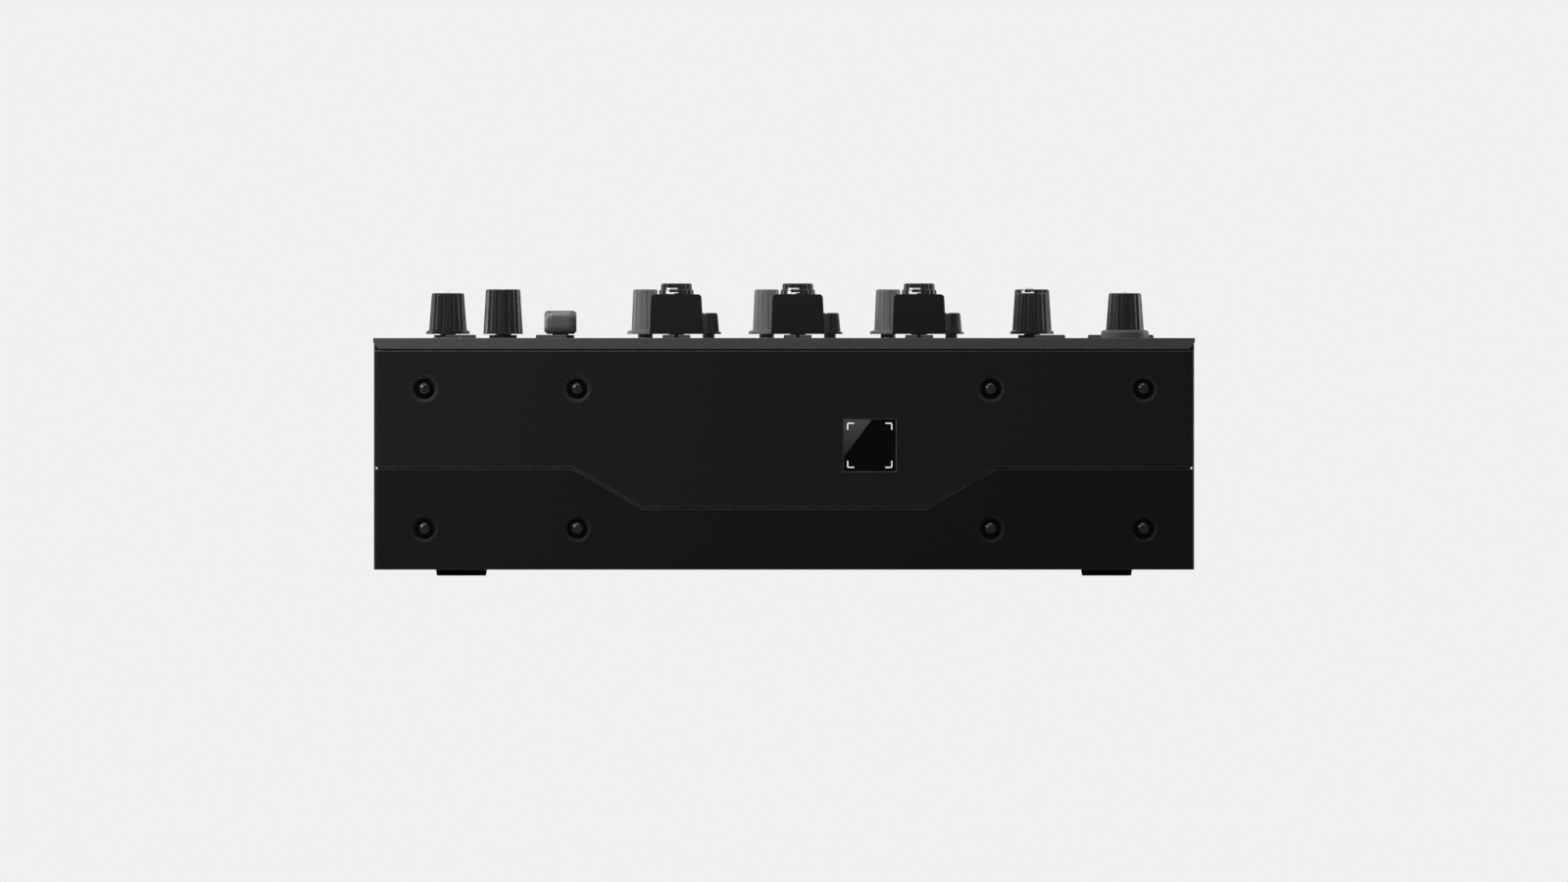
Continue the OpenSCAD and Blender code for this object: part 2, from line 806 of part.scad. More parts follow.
// The square selector on its shaft, with a notch in its top for the reading.
module square_knob() {
    reach = square_h - knob_lift - 2 * cap_wall;
    difference() {
        intersection() {
            linear_extrude(square_h)
                square_outline();
            square_side();
            rotate([0, 0, 90])
                square_side();
        }
        translate([0, 0, knob_lift - eps])
            cylinder(d = shaft_d + 2 * shaft_fit, h = reach + shaft_fit);
        translate([-0.5, square_w / 4, square_h - 0.3])
            cube([1, square_w / 2, 1]);
    }
    knob_shaft(shaft_d, reach);
}

module knob(style) {
    if (style == "skirted")
        round_knob(skirted_top_d, skirted_foot_d, skirted_h, skirted_skirt_d, skirt_h,
                   shaft_d, groove_count, groove_depth, pointer_rise);
    if (style == "plain")
        round_knob(plain_top_d, plain_foot_d, plain_h, plain_foot_d, rim_h, shaft_d,
                   groove_count, groove_depth, pointer_rise);
    if (style == "trim")
        round_knob(trim_top_d, trim_foot_d, trim_h, trim_foot_d, rim_h, shaft_d,
                   groove_count, groove_depth);
    if (style == "grey")
        round_knob(grey_top_d, grey_foot_d, grey_h, grey_skirt_d, skirt_h, grey_shaft_d,
                   groove_count + 2, groove_depth / 2);
    if (style == "small")
        round_knob(small_top_d, small_foot_d, small_h, small_skirt_d, small_skirt_h,
                   small_shaft_d, groove_count, groove_depth / 2);
    if (style == "square")
        square_knob();
}

KNOB_COLORS = [["grey", "#6e6e70"], ["square", "#4a4a4c"]];
function knob_color(style) =
    let (found = [for (entry = KNOB_COLORS) if (entry[0] == style) entry[1]])
    len(found) > 0 ? found[0] : "#242425";

module placed_knob(k) {
    color(knob_color(k[1]))
        on_panel(k[2], k[3])
            rotate([0, 0, knob_turn(k[4])])
                knob(k[1]);
}

// The bar on a knob is drawn along +X; a reading of 0 points straight back.
function knob_turn(rest) = 90 + rest;

// ---------- buttons ----------

button_plunge = 3;       // how far a button reaches below the panel's underside
button_edge = 0.35;      // bevel round a button's top

// A flat button with bevelled edges, over the plunger that works its switch.
module flat_button(w) {
    half = w / 2;
    long = button_l / 2;
    on_z = button_h - button_edge;
    intersection() {
        upright(-long, button_l)
            polygon([[-half, -panel_t - button_plunge], [half, -panel_t - button_plunge],
                     [half, on_z], [half - button_edge, button_h],
                     [button_edge - half, button_h], [-half, on_z]]);
        rotate([0, 0, 90])
            upright(-half, w)
                polygon([[-long, -panel_t - button_plunge], [long, -panel_t - button_plunge],
                         [long, on_z], [long - button_edge, button_h],
                         [button_edge - long, button_h], [-long, on_z]]);
    }
    translate([0, 0, switch_top - deck_z - panel_t + button_travel + 0.4])
        cylinder(d = 3.2, h = -panel_t - button_plunge + eps
                 - (switch_top - deck_z - panel_t + button_travel + 0.4));
}

// The round effect button: a dished, bevelled disc.
module effect_button() {
    color("#2a2a2c")
        on_panel(right_x, effect_button_row) {
            dish_r = 2 * effect_d;
            difference() {
                rotate_extrude()
                    polygon(concat(
                        [[0, -panel_t - button_plunge], [effect_d / 2, -panel_t - button_plunge]],
                        arc([effect_d / 2 - 1, effect_h - 1], 1, 0, 90, 4),
                        [[0, effect_h]]));
                translate([0, 0, effect_h + sqrt(dish_r * dish_r - pow(effect_d / 2 - 2, 2))])
                    sphere(r = dish_r, $fn = 96);
            }
            translate([0, 0, switch_top - top_z + button_travel + 0.4])
                cylinder(d = 3.2, h = top_z - panel_t - button_plunge + eps
                         - (switch_top + button_travel + 0.4));
        }
}

module placed_button(b) {
    color("#2c2c2e")
        on_panel(b[1], b[2])
            flat_button(b[3]);
}

// ---------- faders ----------

cap_round = 1.4;         // round upper edges of a fader cap
grip_dip = 1.6;          // depth of the finger dip along a cap's top

// Front view of a fader cap: sides that lean in, round upper edges.
module cap_front() {
    top = cap_top_w / 2;
    polygon(concat([[-cap_foot_w / 2, knob_lift], [cap_foot_w / 2, knob_lift]],
                   arc([top - cap_round, cap_top_z - cap_round], cap_round, 5, 90),
                   arc([cap_round - top, cap_top_z - cap_round], cap_round, 90, 175)));
}

// Side view of a fader cap: steep ends and a finger dip between two ridges.
module cap_side() {
    foot = cap_l / 2;
    top = foot - 1.6;
    dip_r = (top * top / 2 / grip_dip) + grip_dip / 2;
    half_angle = asin(min(1, (top - 0.8) / dip_r));
    dip_c = cap_top_z - grip_dip + dip_r;
    polygon(concat([[-foot, knob_lift], [foot, knob_lift], [top, cap_top_z]],
                   arc([0, dip_c], dip_r, 270 + half_angle, 270 - half_angle, 8),
                   [[-top, cap_top_z]]));
}

carriage_drop = 6;       // the carriage's top below the panel's underside
carriage_h = 3.6;
carriage_l = 10;
frame_wall = 1;
frame_end = 9;           // length of the frame beyond the travel, at each end
frame_l = fader_travel + 2 * frame_end;
rod_x = frame_w / 2 - frame_wall - rod_d - 0.8;
rod_z = deck_z - carriage_drop - carriage_h / 2;

// The two guide rods of a fader, or their bores in its carriage.
module fader_rods(d, l) {
    for (side = [-1, 1])
        translate([side * rod_x, l / 2, rod_z])
            rotate([90, 0, 0])
                cylinder(d = d, h = l);
}

// The fader cap, hollow from below round the lever.
module fader_cap() {
    difference() {
        intersection() {
            upright(-cap_l, 2 * cap_l)
                cap_front();
            rotate([0, 0, 90])
                upright(-cap_foot_w, 2 * cap_foot_w)
                    cap_side();
        }
        translate([0, 0, knob_lift - eps])
            difference() {
                block(cap_foot_w - 2 * cap_wall, cap_l - 3 * cap_wall, cap_top_z / 2);
                block(lever_w + 2 * cap_wall, lever_l + 2 * cap_wall, cap_top_z / 2);
            }
    }
}

// One fader's moving piece: cap, thin lever and the carriage that runs on the rods.
module fader(c) {
    carriage_z = deck_z - carriage_drop;
    color("#1c1c1d")
        on_panel(channel_at(c), fader_row, 0) {
            translate([0, 0, top_z])
                fader_cap();
            translate([0, 0, carriage_z - eps])
                block(lever_w, lever_l, top_z + knob_lift + 1 - carriage_z);
            difference() {
                translate([0, 0, carriage_z - carriage_h])
                    block(frame_w - 2 * frame_wall - 1, carriage_l, carriage_h);
                fader_rods(rod_d + 2 * shaft_fit, 2 * carriage_l);
            }
        }
}

// The steel frames under the panel that the faders run in, with their guide rods.
module fader_units() {
    color("#8c8f94")
        for (c = CHANNELS)
            on_panel(channel_at(c), fader_mid_row, 0) {
                difference() {
                    translate([0, 0, deck_z - frame_h])
                        block(frame_w, frame_l, frame_h);
                    translate([0, 0, deck_z - frame_h + frame_wall])
                        block(frame_w - 2 * frame_wall, frame_l - 2 * frame_wall, frame_h);
                }
                fader_rods(rod_d, frame_l - frame_wall);
            }
}

// ---------- inside ----------

control_t = 1.6;
pot_gap = 0.5;           // clearance of a potentiometer's body under the panel
control_z = deck_z - pot_gap - pot_h - control_t;
switch_w = 6;
switch_h = 3.5;
switch_top = control_z + control_t + switch_h;
control_side = 3;        // clearance of the control board from the side walls
control_front = 6;       // clearance of the control board from the front wall
control_rear = 21.5;     // distance of the control board from the rear end
phones_cut_w = 20;
phones_cut_l = 50;

// The control board under the panel, cut out round the fader frames and the jacks.
module control_board() {
    color("#1d5a3a")
        difference() {
            translate([control_side - inner_w / 2, front_y + wall_t + control_front, control_z])
                cube([inner_w - 2 * control_side,
                      case_d - wall_t - control_front - control_rear, control_t]);
            for (c = CHANNELS)
                on_panel(channel_at(c), fader_mid_row, control_z - 1)
                    block(frame_w + 4 * fit, frame_l + 4 * fit, control_t + 2);
            on_panel(phones_x, (phones_row + mini_row) / 2, control_z - 1)
                block(phones_cut_w, phones_cut_l, control_t + 2);
            for (k = KNOBS)
                on_panel(k[2], k[3], control_z - 1)
                    cylinder(d = shaft_of(k[1]) + 1, h = control_t + 2);
        }
    color("#c8c8c8")
        for (b = concat(BUTTONS, [["effect", right_x, effect_button_row]]))
            on_panel(b[1], b[2], control_z + control_t)
                block(switch_w, switch_w, switch_h);
}

module potentiometers() {
    color("#7d8086")
        for (k = KNOBS)
            on_panel(k[2], k[3], control_z + control_t)
                difference() {
                    union() {
                        block(pot_w, pot_w, pot_h);
                        if (has_nut(k[1]))
                            cylinder(d = bushing_d, h = pot_h + pot_gap + panel_t + nut_h);
                    }
                    translate([0, 0, -1])
                        cylinder(d = shaft_of(k[1]) + 2 * fit, h = pot_h + 2 * through);
                }
}

module knob_nuts() {
    color("#505256")
        for (k = KNOBS)
            if (has_nut(k[1]))
                on_panel(k[2], k[3])
                    difference() {
                        rotate([0, 0, 30])
                            cylinder(d = nut_af / cos(30), h = nut_h, $fn = 6);
                        translate([0, 0, -1])
                            cylinder(d = bushing_d + 0.1, h = nut_h + 2);
                    }
}

// The meters' light bars stand on the control board, flush with the panel.
module level_meters() {
    bar_z = control_z + control_t;
    color("#101012")
        for (c = CHANNELS)
            on_panel(channel_at(c) + meter_dx, meter_row, bar_z)
                block(meter_w, meter_l, top_z - bar_z);
}

// The display stands on the control board too.
module display_window() {
    body_z = control_z + control_t;
    color("#0a0a0c")
        on_panel(display_x, display_row, body_z)
            block(display_w, display_l, top_z - body_z);
}

chip_w = 18;
chip_h = 2;
chip_pitch = 38;
capacitor_d = 10;
capacitor_h = 14;
capacitor_pitch = 28;

// The main board with a row of chips and a row of capacitors.
module main_board() {
    board_z = floor_z + board_lift;
    color("#1d5a3a")
        translate([main_board_x, main_board_y, board_z])
            block(main_board_w, main_board_l, board_t);
    color("#202022")
        translate([main_board_x, main_board_y, board_z + board_t]) {
            for (i = [-1.5:1.5])
                translate([i * chip_pitch, -main_board_l / 8, 0])
                    block(chip_w, chip_w, chip_h);
            for (i = [-2.5:2.5])
                translate([i * capacitor_pitch, main_board_l / 6, 0])
                    cylinder(d = capacitor_d, h = capacitor_h);
        }
}

// The power supply in its folded steel cover, slotted along the top.
module power_supply() {
    slot_pitch = supply_l / (supply_slots + 2);
    color("#9a9ca0")
        translate([(inner_w - supply_w) / 2 - supply_gap, rear_y - supply_rear - supply_l / 2,
                   floor_z])
            difference() {
                block(supply_w, supply_l, supply_h);
                translate([0, 0, supply_wall])
                    block(supply_w - 2 * supply_wall, supply_l - 2 * supply_wall,
                          supply_h - 2 * supply_wall);
                for (i = [0:supply_slots - 1])
                    translate([0, (i - (supply_slots - 1) / 2) * slot_pitch, supply_h - 2])
                        block(supply_w * 0.75, slot_pitch / 3, 4);
            }
}

// ---------- rear ----------

phono_x = [rear_at(-0.35), rear_at(-0.15), rear_at(0.05)];
phono_dx = 8;
phono_z = [foot_h + 42, foot_h + 58];
phono_mid_z = (phono_z[0] + phono_z[1]) / 2;
phono_block_w = 2 * phono_dx + phono_d + 4;
phono_block_h = phono_z[1] - phono_z[0] + phono_d + 4;
phono_block_l = 14;
phono_wall = 0.7;
phono_seat = 1.5;        // solid foot of a phono shell, sunk in its block
xlr_x = [rear_at(0.44), rear_at(0.64)];
xlr_z = foot_h + 60;
mic_x = rear_at(-0.86);
mic_z = foot_h + 45;
booth_z = foot_h + 24;
send_x = [rear_at(-0.67), rear_at(-0.525)];
send_z = [foot_h + 30, foot_h + 58];
network_x = rear_at(0.25);
network_z = foot_h + 62;
usb_z = [foot_h + 24, foot_h + 40];
inlet_x = rear_at(0.85);
inlet_z = foot_h + 26;
switch_z = foot_h + 64;
ground_z = foot_h + 12;
neck_fit = 0.3;
phono_hole_d = 3.3;
phono_core_d = 5;

// Line jacks: x and z of each neck on the rear panel.
LINE_JACKS = concat([for (x = xlr_x) [x, booth_z]],
                    [for (x = send_x) for (z = send_z) [x, z]]);
XLR_SOCKETS = concat([for (x = xlr_x) [x, xlr_z]], [[mic_x, mic_z]]);
inlet_w = 27.4;
inlet_h = 20;
rocker_w = 12;
rocker_h = 18;
network_w = 16;
network_h = 14;
usb_w = 9.2;
usb_h = 3.4;

// The flat rear panel with its openings.
module rear_panel() {
    color("#1a1a1b")
        difference() {
            translate([-inner_w / 2 + fit, rear_y - rear_t, floor_z])
                cube([inner_w - 2 * fit, rear_t, deck_z - floor_z]);
            for (x = phono_x)
                rearward(x, phono_mid_z, rear_y - through / 2)
                    block(phono_block_w + fit, phono_block_h + fit, through);
            for (j = LINE_JACKS)
                rearward(j[0], j[1], rear_y - through / 2)
                    cylinder(d = jack_neck_d + 2 * neck_fit, h = through);
            for (s = XLR_SOCKETS)
                rearward(s[0], s[1], rear_y - through / 2)
                    cylinder(d = xlr_d + 2 * xlr_wall + 2 * fit, h = through);
            translate([network_x, rear_y - through / 2, network_z])
                rotate([-90, 0, 0])
                    block(network_w + fit, network_h + fit, through);
            for (z = usb_z)
                translate([network_x, rear_y - through / 2, z])
                    rotate([-90, 0, 0])
                        block(usb_w + fit, usb_h + fit, through);
            translate([inlet_x, rear_y - through / 2, inlet_z])
                rotate([-90, 0, 0])
                    block(inlet_w + fit, inlet_h + fit, through);
            translate([inlet_x, rear_y - through / 2, switch_z])
                rotate([-90, 0, 0])
                    block(rocker_w + 2 * rocker_frame + fit, rocker_h + 2 * rocker_frame + fit,
                          through);
            for (x = ground_x)
                rearward(x, ground_z, rear_y - through / 2)
                    cylinder(d = ground_d + fit + 0.1, h = through);
            for (s = REAR_SCREWS)
                rearward(s[0], s[1], rear_y - through / 2)
                    cylinder(d = screw_shank_d + 2 * fit, h = through);
        }
}

ground_x = [rear_at(-0.25), rear_at(-0.05)];
xlr_wall = 1.6;
xlr_depth = 16;
xlr_floor = 2;           // thickness of an XLR cup's floor
xlr_flange_w = 26;
xlr_flange_h = 31;
xlr_flange_t = 1.5;
xlr_pin_r = 5;           // distance of a pin from its socket's middle
xlr_pin_d = 2.4;
xlr_pin_l = 10;

// One phono socket: a plated shell round an insulated core with its pin hole.
module phono_shell() {
    core_d = phono_d - 2 * phono_wall;
    translate([0, 0, -phono_seat])
        difference() {
            cylinder(d = phono_d, h = phono_seat + phono_reach);
            translate([0, 0, phono_seat])
                cylinder(d = core_d, h = phono_reach + 1);
        }
    difference() {
        translate([0, 0, -eps])
            cylinder(d = phono_core_d, h = phono_reach - 1);
        cylinder(d = phono_hole_d, h = phono_reach);
    }
}

// The places of the four shells on a block.
module phono_places(x) {
    for (dx = [-phono_dx, phono_dx])
        for (z = phono_z)
            rearward(x + dx, z)
                children();
}

// Phono sockets in blocks of four, one block a channel. The shells' feet sit in their block.
module phono_sockets() {
    for (x = phono_x) {
        color("#1c1c1e")
            difference() {
                rearward(x, phono_mid_z, rear_y - rear_t - phono_block_l)
                    block(phono_block_w, phono_block_h, rear_t + phono_block_l);
                phono_places(x)
                    translate([0, 0, -phono_seat - thread_fit])
                        cylinder(d = phono_d + 2 * thread_fit, h = through);
            }
        color("#b4b6ba")
            phono_places(x)
                phono_shell();
    }
}

// XLR sockets: a round shell, its flange on the panel, and three pins in the hollow.
module xlr_sockets() {
    color("#2a2a2c")
        for (s = XLR_SOCKETS)
            rearward(s[0], s[1], rear_y - rear_t) {
                difference() {
                    union() {
                        translate([0, 0, rear_t])
                            linear_extrude(xlr_flange_t)
                                round_rect(xlr_flange_w, xlr_flange_h, 2);
                        translate([0, 0, -xlr_depth])
                            cylinder(d = xlr_d + 2 * xlr_wall, h = xlr_depth + rear_t + eps);
                    }
                    translate([0, 0, xlr_floor - xlr_depth])
                        cylinder(d = xlr_d, h = xlr_depth + through);
                }
                for (turn = [0, 120, 240])
                    rotate([0, 0, 90 + turn])
                        translate([xlr_pin_r, 0, xlr_floor - xlr_depth - eps])
                            cylinder(d = xlr_pin_d, h = xlr_pin_l);
            }
}

jack_bore_l = 26;
jack_body_w = 15;
jack_end = 1.5;          // solid end of a jack's body
jack_reach = 3.5;        // how far a rear jack's neck stands out of the panel
jack_nut_h = 2;
jack_nut_over = 3;       // a jack nut's width across its flats, over its neck
top_reach = 0.3;         // how far a headphone jack's neck stands out of the panel

// A jack: a body behind the sheet and a threaded neck through it, bored for the plug.
module jack(bore_d, neck_d, sheet_t, body_w, bore_l, reach) {
    difference() {
        union() {
            translate([0, 0, -bore_l - jack_end])
                block(body_w, body_w, bore_l + jack_end);
            cylinder(d = neck_d, h = sheet_t + reach);
        }
        translate([0, 0, -bore_l])
            cylinder(d = bore_d, h = bore_l + sheet_t + reach + 1);
    }
}

module jack_nut(neck_d, af, h) {
    difference() {
        cylinder(d = af / cos(30), h = h, $fn = 6);
        translate([0, 0, -1])
            cylinder(d = neck_d + 0.1, h = h + 2);
    }
}

module line_jacks() {
    color("#2c2c2e")
        for (j = LINE_JACKS)
            rearward(j[0], j[1], rear_y - rear_t) {
                jack(jack_bore_d, jack_neck_d, rear_t, jack_body_w, jack_bore_l, jack_reach);
                translate([0, 0, rear_t])
                    jack_nut(jack_neck_d, jack_neck_d + jack_nut_over, jack_nut_h);
            }
}

mini_bore_d = 3.6;
mini_bore_l = 14;
mini_body_w = 9;

module headphone_jacks() {
    color("#2c2c2e") {
        on_panel(phones_x, phones_row, deck_z)
            jack(jack_bore_d, jack_neck_d, panel_t, jack_body_w, jack_bore_l, top_reach);
        on_panel(phones_x, mini_row, deck_z)
            jack(mini_bore_d, mini_neck_d, panel_t, mini_body_w, mini_bore_l, top_reach);
    }
}

// A box socket whose mouth is flush with the rear panel.
module box_socket(w, h, body_l, wall, mouth_l) {
    rotate([-90, 0, 0])
        difference() {
            translate([0, 0, -body_l])
                block(w, h, body_l);
            translate([0, 0, -mouth_l])
                block(w - 2 * wall, h - 2 * wall, mouth_l + 1);
        }
}

port_reach = 0.5;        // how far the data ports stand out of the panel
network_l = 21;
network_wall = 1.4;
network_mouth = 15;
usb_l = 9;
usb_wall = 0.4;
usb_mouth = 7;
usb_tongue_w = 6.6;
usb_tongue_t = 0.7;
usb_tongue_l = 5.5;

// The network port, and under it two small data ports with a tongue each.
module data_ports() {
    color("#a4a6aa") {
        translate([network_x, rear_y + port_reach, network_z])
            box_socket(network_w, network_h, network_l, network_wall, network_mouth);
        for (z = usb_z)
            translate([network_x, rear_y + port_reach, z]) {
                box_socket(usb_w, usb_h, usb_l, usb_wall, usb_mouth);
                rotate([-90, 0, 0])
                    translate([0, 0, -usb_mouth - eps])
                        block(usb_tongue_w, usb_tongue_t, usb_tongue_l);
            }
    }
}

inlet_reach = 1.5;       // how far the mains inlet stands out of the panel
inlet_l = 26;
inlet_wall = 1.6;
inlet_mouth = 17;
inlet_pin_w = 2;
inlet_pin_h = 5;
inlet_pin_l = 12;
INLET_PINS = [[-7, 1], [0, -3], [7, 1]];
rocker_reach = 1;        // how far the switch's frame stands out of the panel
rocker_frame = 2;        // wall and floor of the switch's frame
rocker_frame_l = 16;

// The mains inlet with its three flat pins, and the frame of the power switch.
module power_inlet() {
    color("#141415") {
        translate([inlet_x, rear_y + inlet_reach, inlet_z]) {
            box_socket(inlet_w, inlet_h, inlet_l, inlet_wall, inlet_mouth);
            rotate([-90, 0, 0])
                for (p = INLET_PINS)
                    translate([p[0], p[1], -inlet_mouth - eps])
                        block(inlet_pin_w, inlet_pin_h, inlet_pin_l);
        }
        translate([inlet_x, rear_y + rocker_reach, switch_z])
            rotate([-90, 0, 0])
                difference() {
                    translate([0, 0, -rocker_frame_l])
                        block(rocker_w + 2 * rocker_frame, rocker_h + 2 * rocker_frame,
                              rocker_frame_l);
                    translate([0, 0, rocker_frame - rocker_frame_l])
                        block(rocker_w + 2 * fit, rocker_h + 2 * fit, 2 * rocker_frame_l);
                }
    }
}

rocker_tilt = 8;
rocker_depth = 7;

// The rocker: two faces that meet at a shallow angle over a round back.
module power_switch() {
    half = rocker_h / 2 - 1.2;
    color("#1b1b1c")
        translate([inlet_x, rear_y + rocker_reach - rocker_depth, switch_z])
            rotate([rocker_tilt, 0, 0])
                translate([-rocker_w / 2 + fit, 0, 0])
                    rotate([90, 0, 90])
                        linear_extrude(rocker_w - 2 * fit)
                            union() {
                                polygon([[0, -half + 1], [rocker_depth + 0.9, -half],
                                         [rocker_depth - 0.4, 0], [rocker_depth + 0.9, half],
                                         [0, half - 1]]);
                                circle(r = 3);
                            }
}

ground_d = 4;            // diameter of a ground terminal's stud
ground_l = 6;            // length of the stud on each side of the panel
ground_head_d = 8;
ground_washer_t = 1;
ground_gap = 1;          // open height under the thumb nut
ground_head_l = 3.5;

// Two ground terminals: a stud with a washer on the panel and a round thumb nut over it.
module ground_terminals() {
    color("#b8babd")
        for (x = ground_x)
            rearward(x, ground_z) {
                translate([0, 0, -rear_t - ground_l])
                    cylinder(d = ground_d, h = 2 * ground_l + rear_t);
                cylinder(d = ground_head_d, h = ground_washer_t);
                translate([0, 0, ground_washer_t + ground_gap])
                    cylinder(d = ground_head_d, h = ground_head_l);
            }
}

// ---------- parts ----------

lower_case();
upper_case();
top_panel();
rear_panel();
front_window();
case_screws();
front_bracket();
rubber_feet();
main_board();
control_board();
power_supply();
potentiometers();
knob_nuts();
fader_units();
level_meters();
display_window();
phono_sockets();
xlr_sockets();
line_jacks();
data_ports();
power_inlet();
headphone_jacks();
ground_terminals();
effect_button();
power_switch();
for (c = CHANNELS)
    fader(c);
for (b = BUTTONS)
    placed_button(b);
for (k = KNOBS)
    placed_knob(k);
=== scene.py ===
import json
import math

import bmesh
import bpy
from mathutils import Matrix, Vector


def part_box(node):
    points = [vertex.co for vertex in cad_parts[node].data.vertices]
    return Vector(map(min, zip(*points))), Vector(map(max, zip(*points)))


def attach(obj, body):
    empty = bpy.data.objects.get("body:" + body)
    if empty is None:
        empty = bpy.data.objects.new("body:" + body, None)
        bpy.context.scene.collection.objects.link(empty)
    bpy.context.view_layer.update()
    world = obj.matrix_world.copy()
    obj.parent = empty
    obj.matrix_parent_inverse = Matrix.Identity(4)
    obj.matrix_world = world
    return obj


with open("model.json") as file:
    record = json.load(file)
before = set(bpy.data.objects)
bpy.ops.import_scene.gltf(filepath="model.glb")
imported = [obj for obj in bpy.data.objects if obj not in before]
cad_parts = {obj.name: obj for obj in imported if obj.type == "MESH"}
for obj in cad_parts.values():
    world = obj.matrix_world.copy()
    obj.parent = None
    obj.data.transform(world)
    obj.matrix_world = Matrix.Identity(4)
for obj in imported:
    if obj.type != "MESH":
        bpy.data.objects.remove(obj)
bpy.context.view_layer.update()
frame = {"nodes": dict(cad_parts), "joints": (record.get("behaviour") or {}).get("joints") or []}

# The looks of a three-channel DJ mixer, in metres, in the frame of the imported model.

NODES = frame["nodes"]
MM = 0.001

# ---------- places that come from the frame ----------

TOP_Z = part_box("top_panel")[1].z
FRONT_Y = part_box("upper_case")[0].y
REAR_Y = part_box("rear_panel")[1].y
LIFT = 0.03 * MM          # printing stands this far over what it is printed on
INK = 0.04 * MM           # thickness of the printing
PRINT_Z = TOP_Z + LIFT    # where the printing on the top panel starts
DIGIT_Z = PRINT_Z + INK / 2
HAIR = 0.02 * MM          # a mask for what stands over a face starts this far over it
NORTH = math.radians(90)  # the way to the back, as an angle in the panel's plane
CHANNELS = (1, 2, 3)
KNOBS = sorted(name for name in NODES if name.endswith("_knob"))


def middle(node):
    """The centre of a node's box at rest."""
    low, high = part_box(node)
    return (low + high) / 2


def joint_of(node):
    """The joint that carries a node's body."""
    return next(j for j in frame["joints"] if j["child"] == node)


# ---------- shader nodes ----------

def linear(code):
    """A linear colour from a hex code such as 1c1c1e."""
    parts = [int(code[i:i + 2], 16) / 255 for i in (0, 2, 4)]
    return tuple(p / 12.92 if p <= 0.04045 else ((p + 0.055) / 1.055) ** 2.4 for p in parts)


# near black, painted as the shade inside the screw recesses
PAINTED_SHADE_BLACK = linear("040404")
DARK_STEEL = linear("2a2a2c")
BRIGHT_STEEL = linear("8f9196")
PORT_STEEL = linear("48484b")
DRAWN_ACROSS = (1, 30, 1)         # how much finer drawn lines are along Y


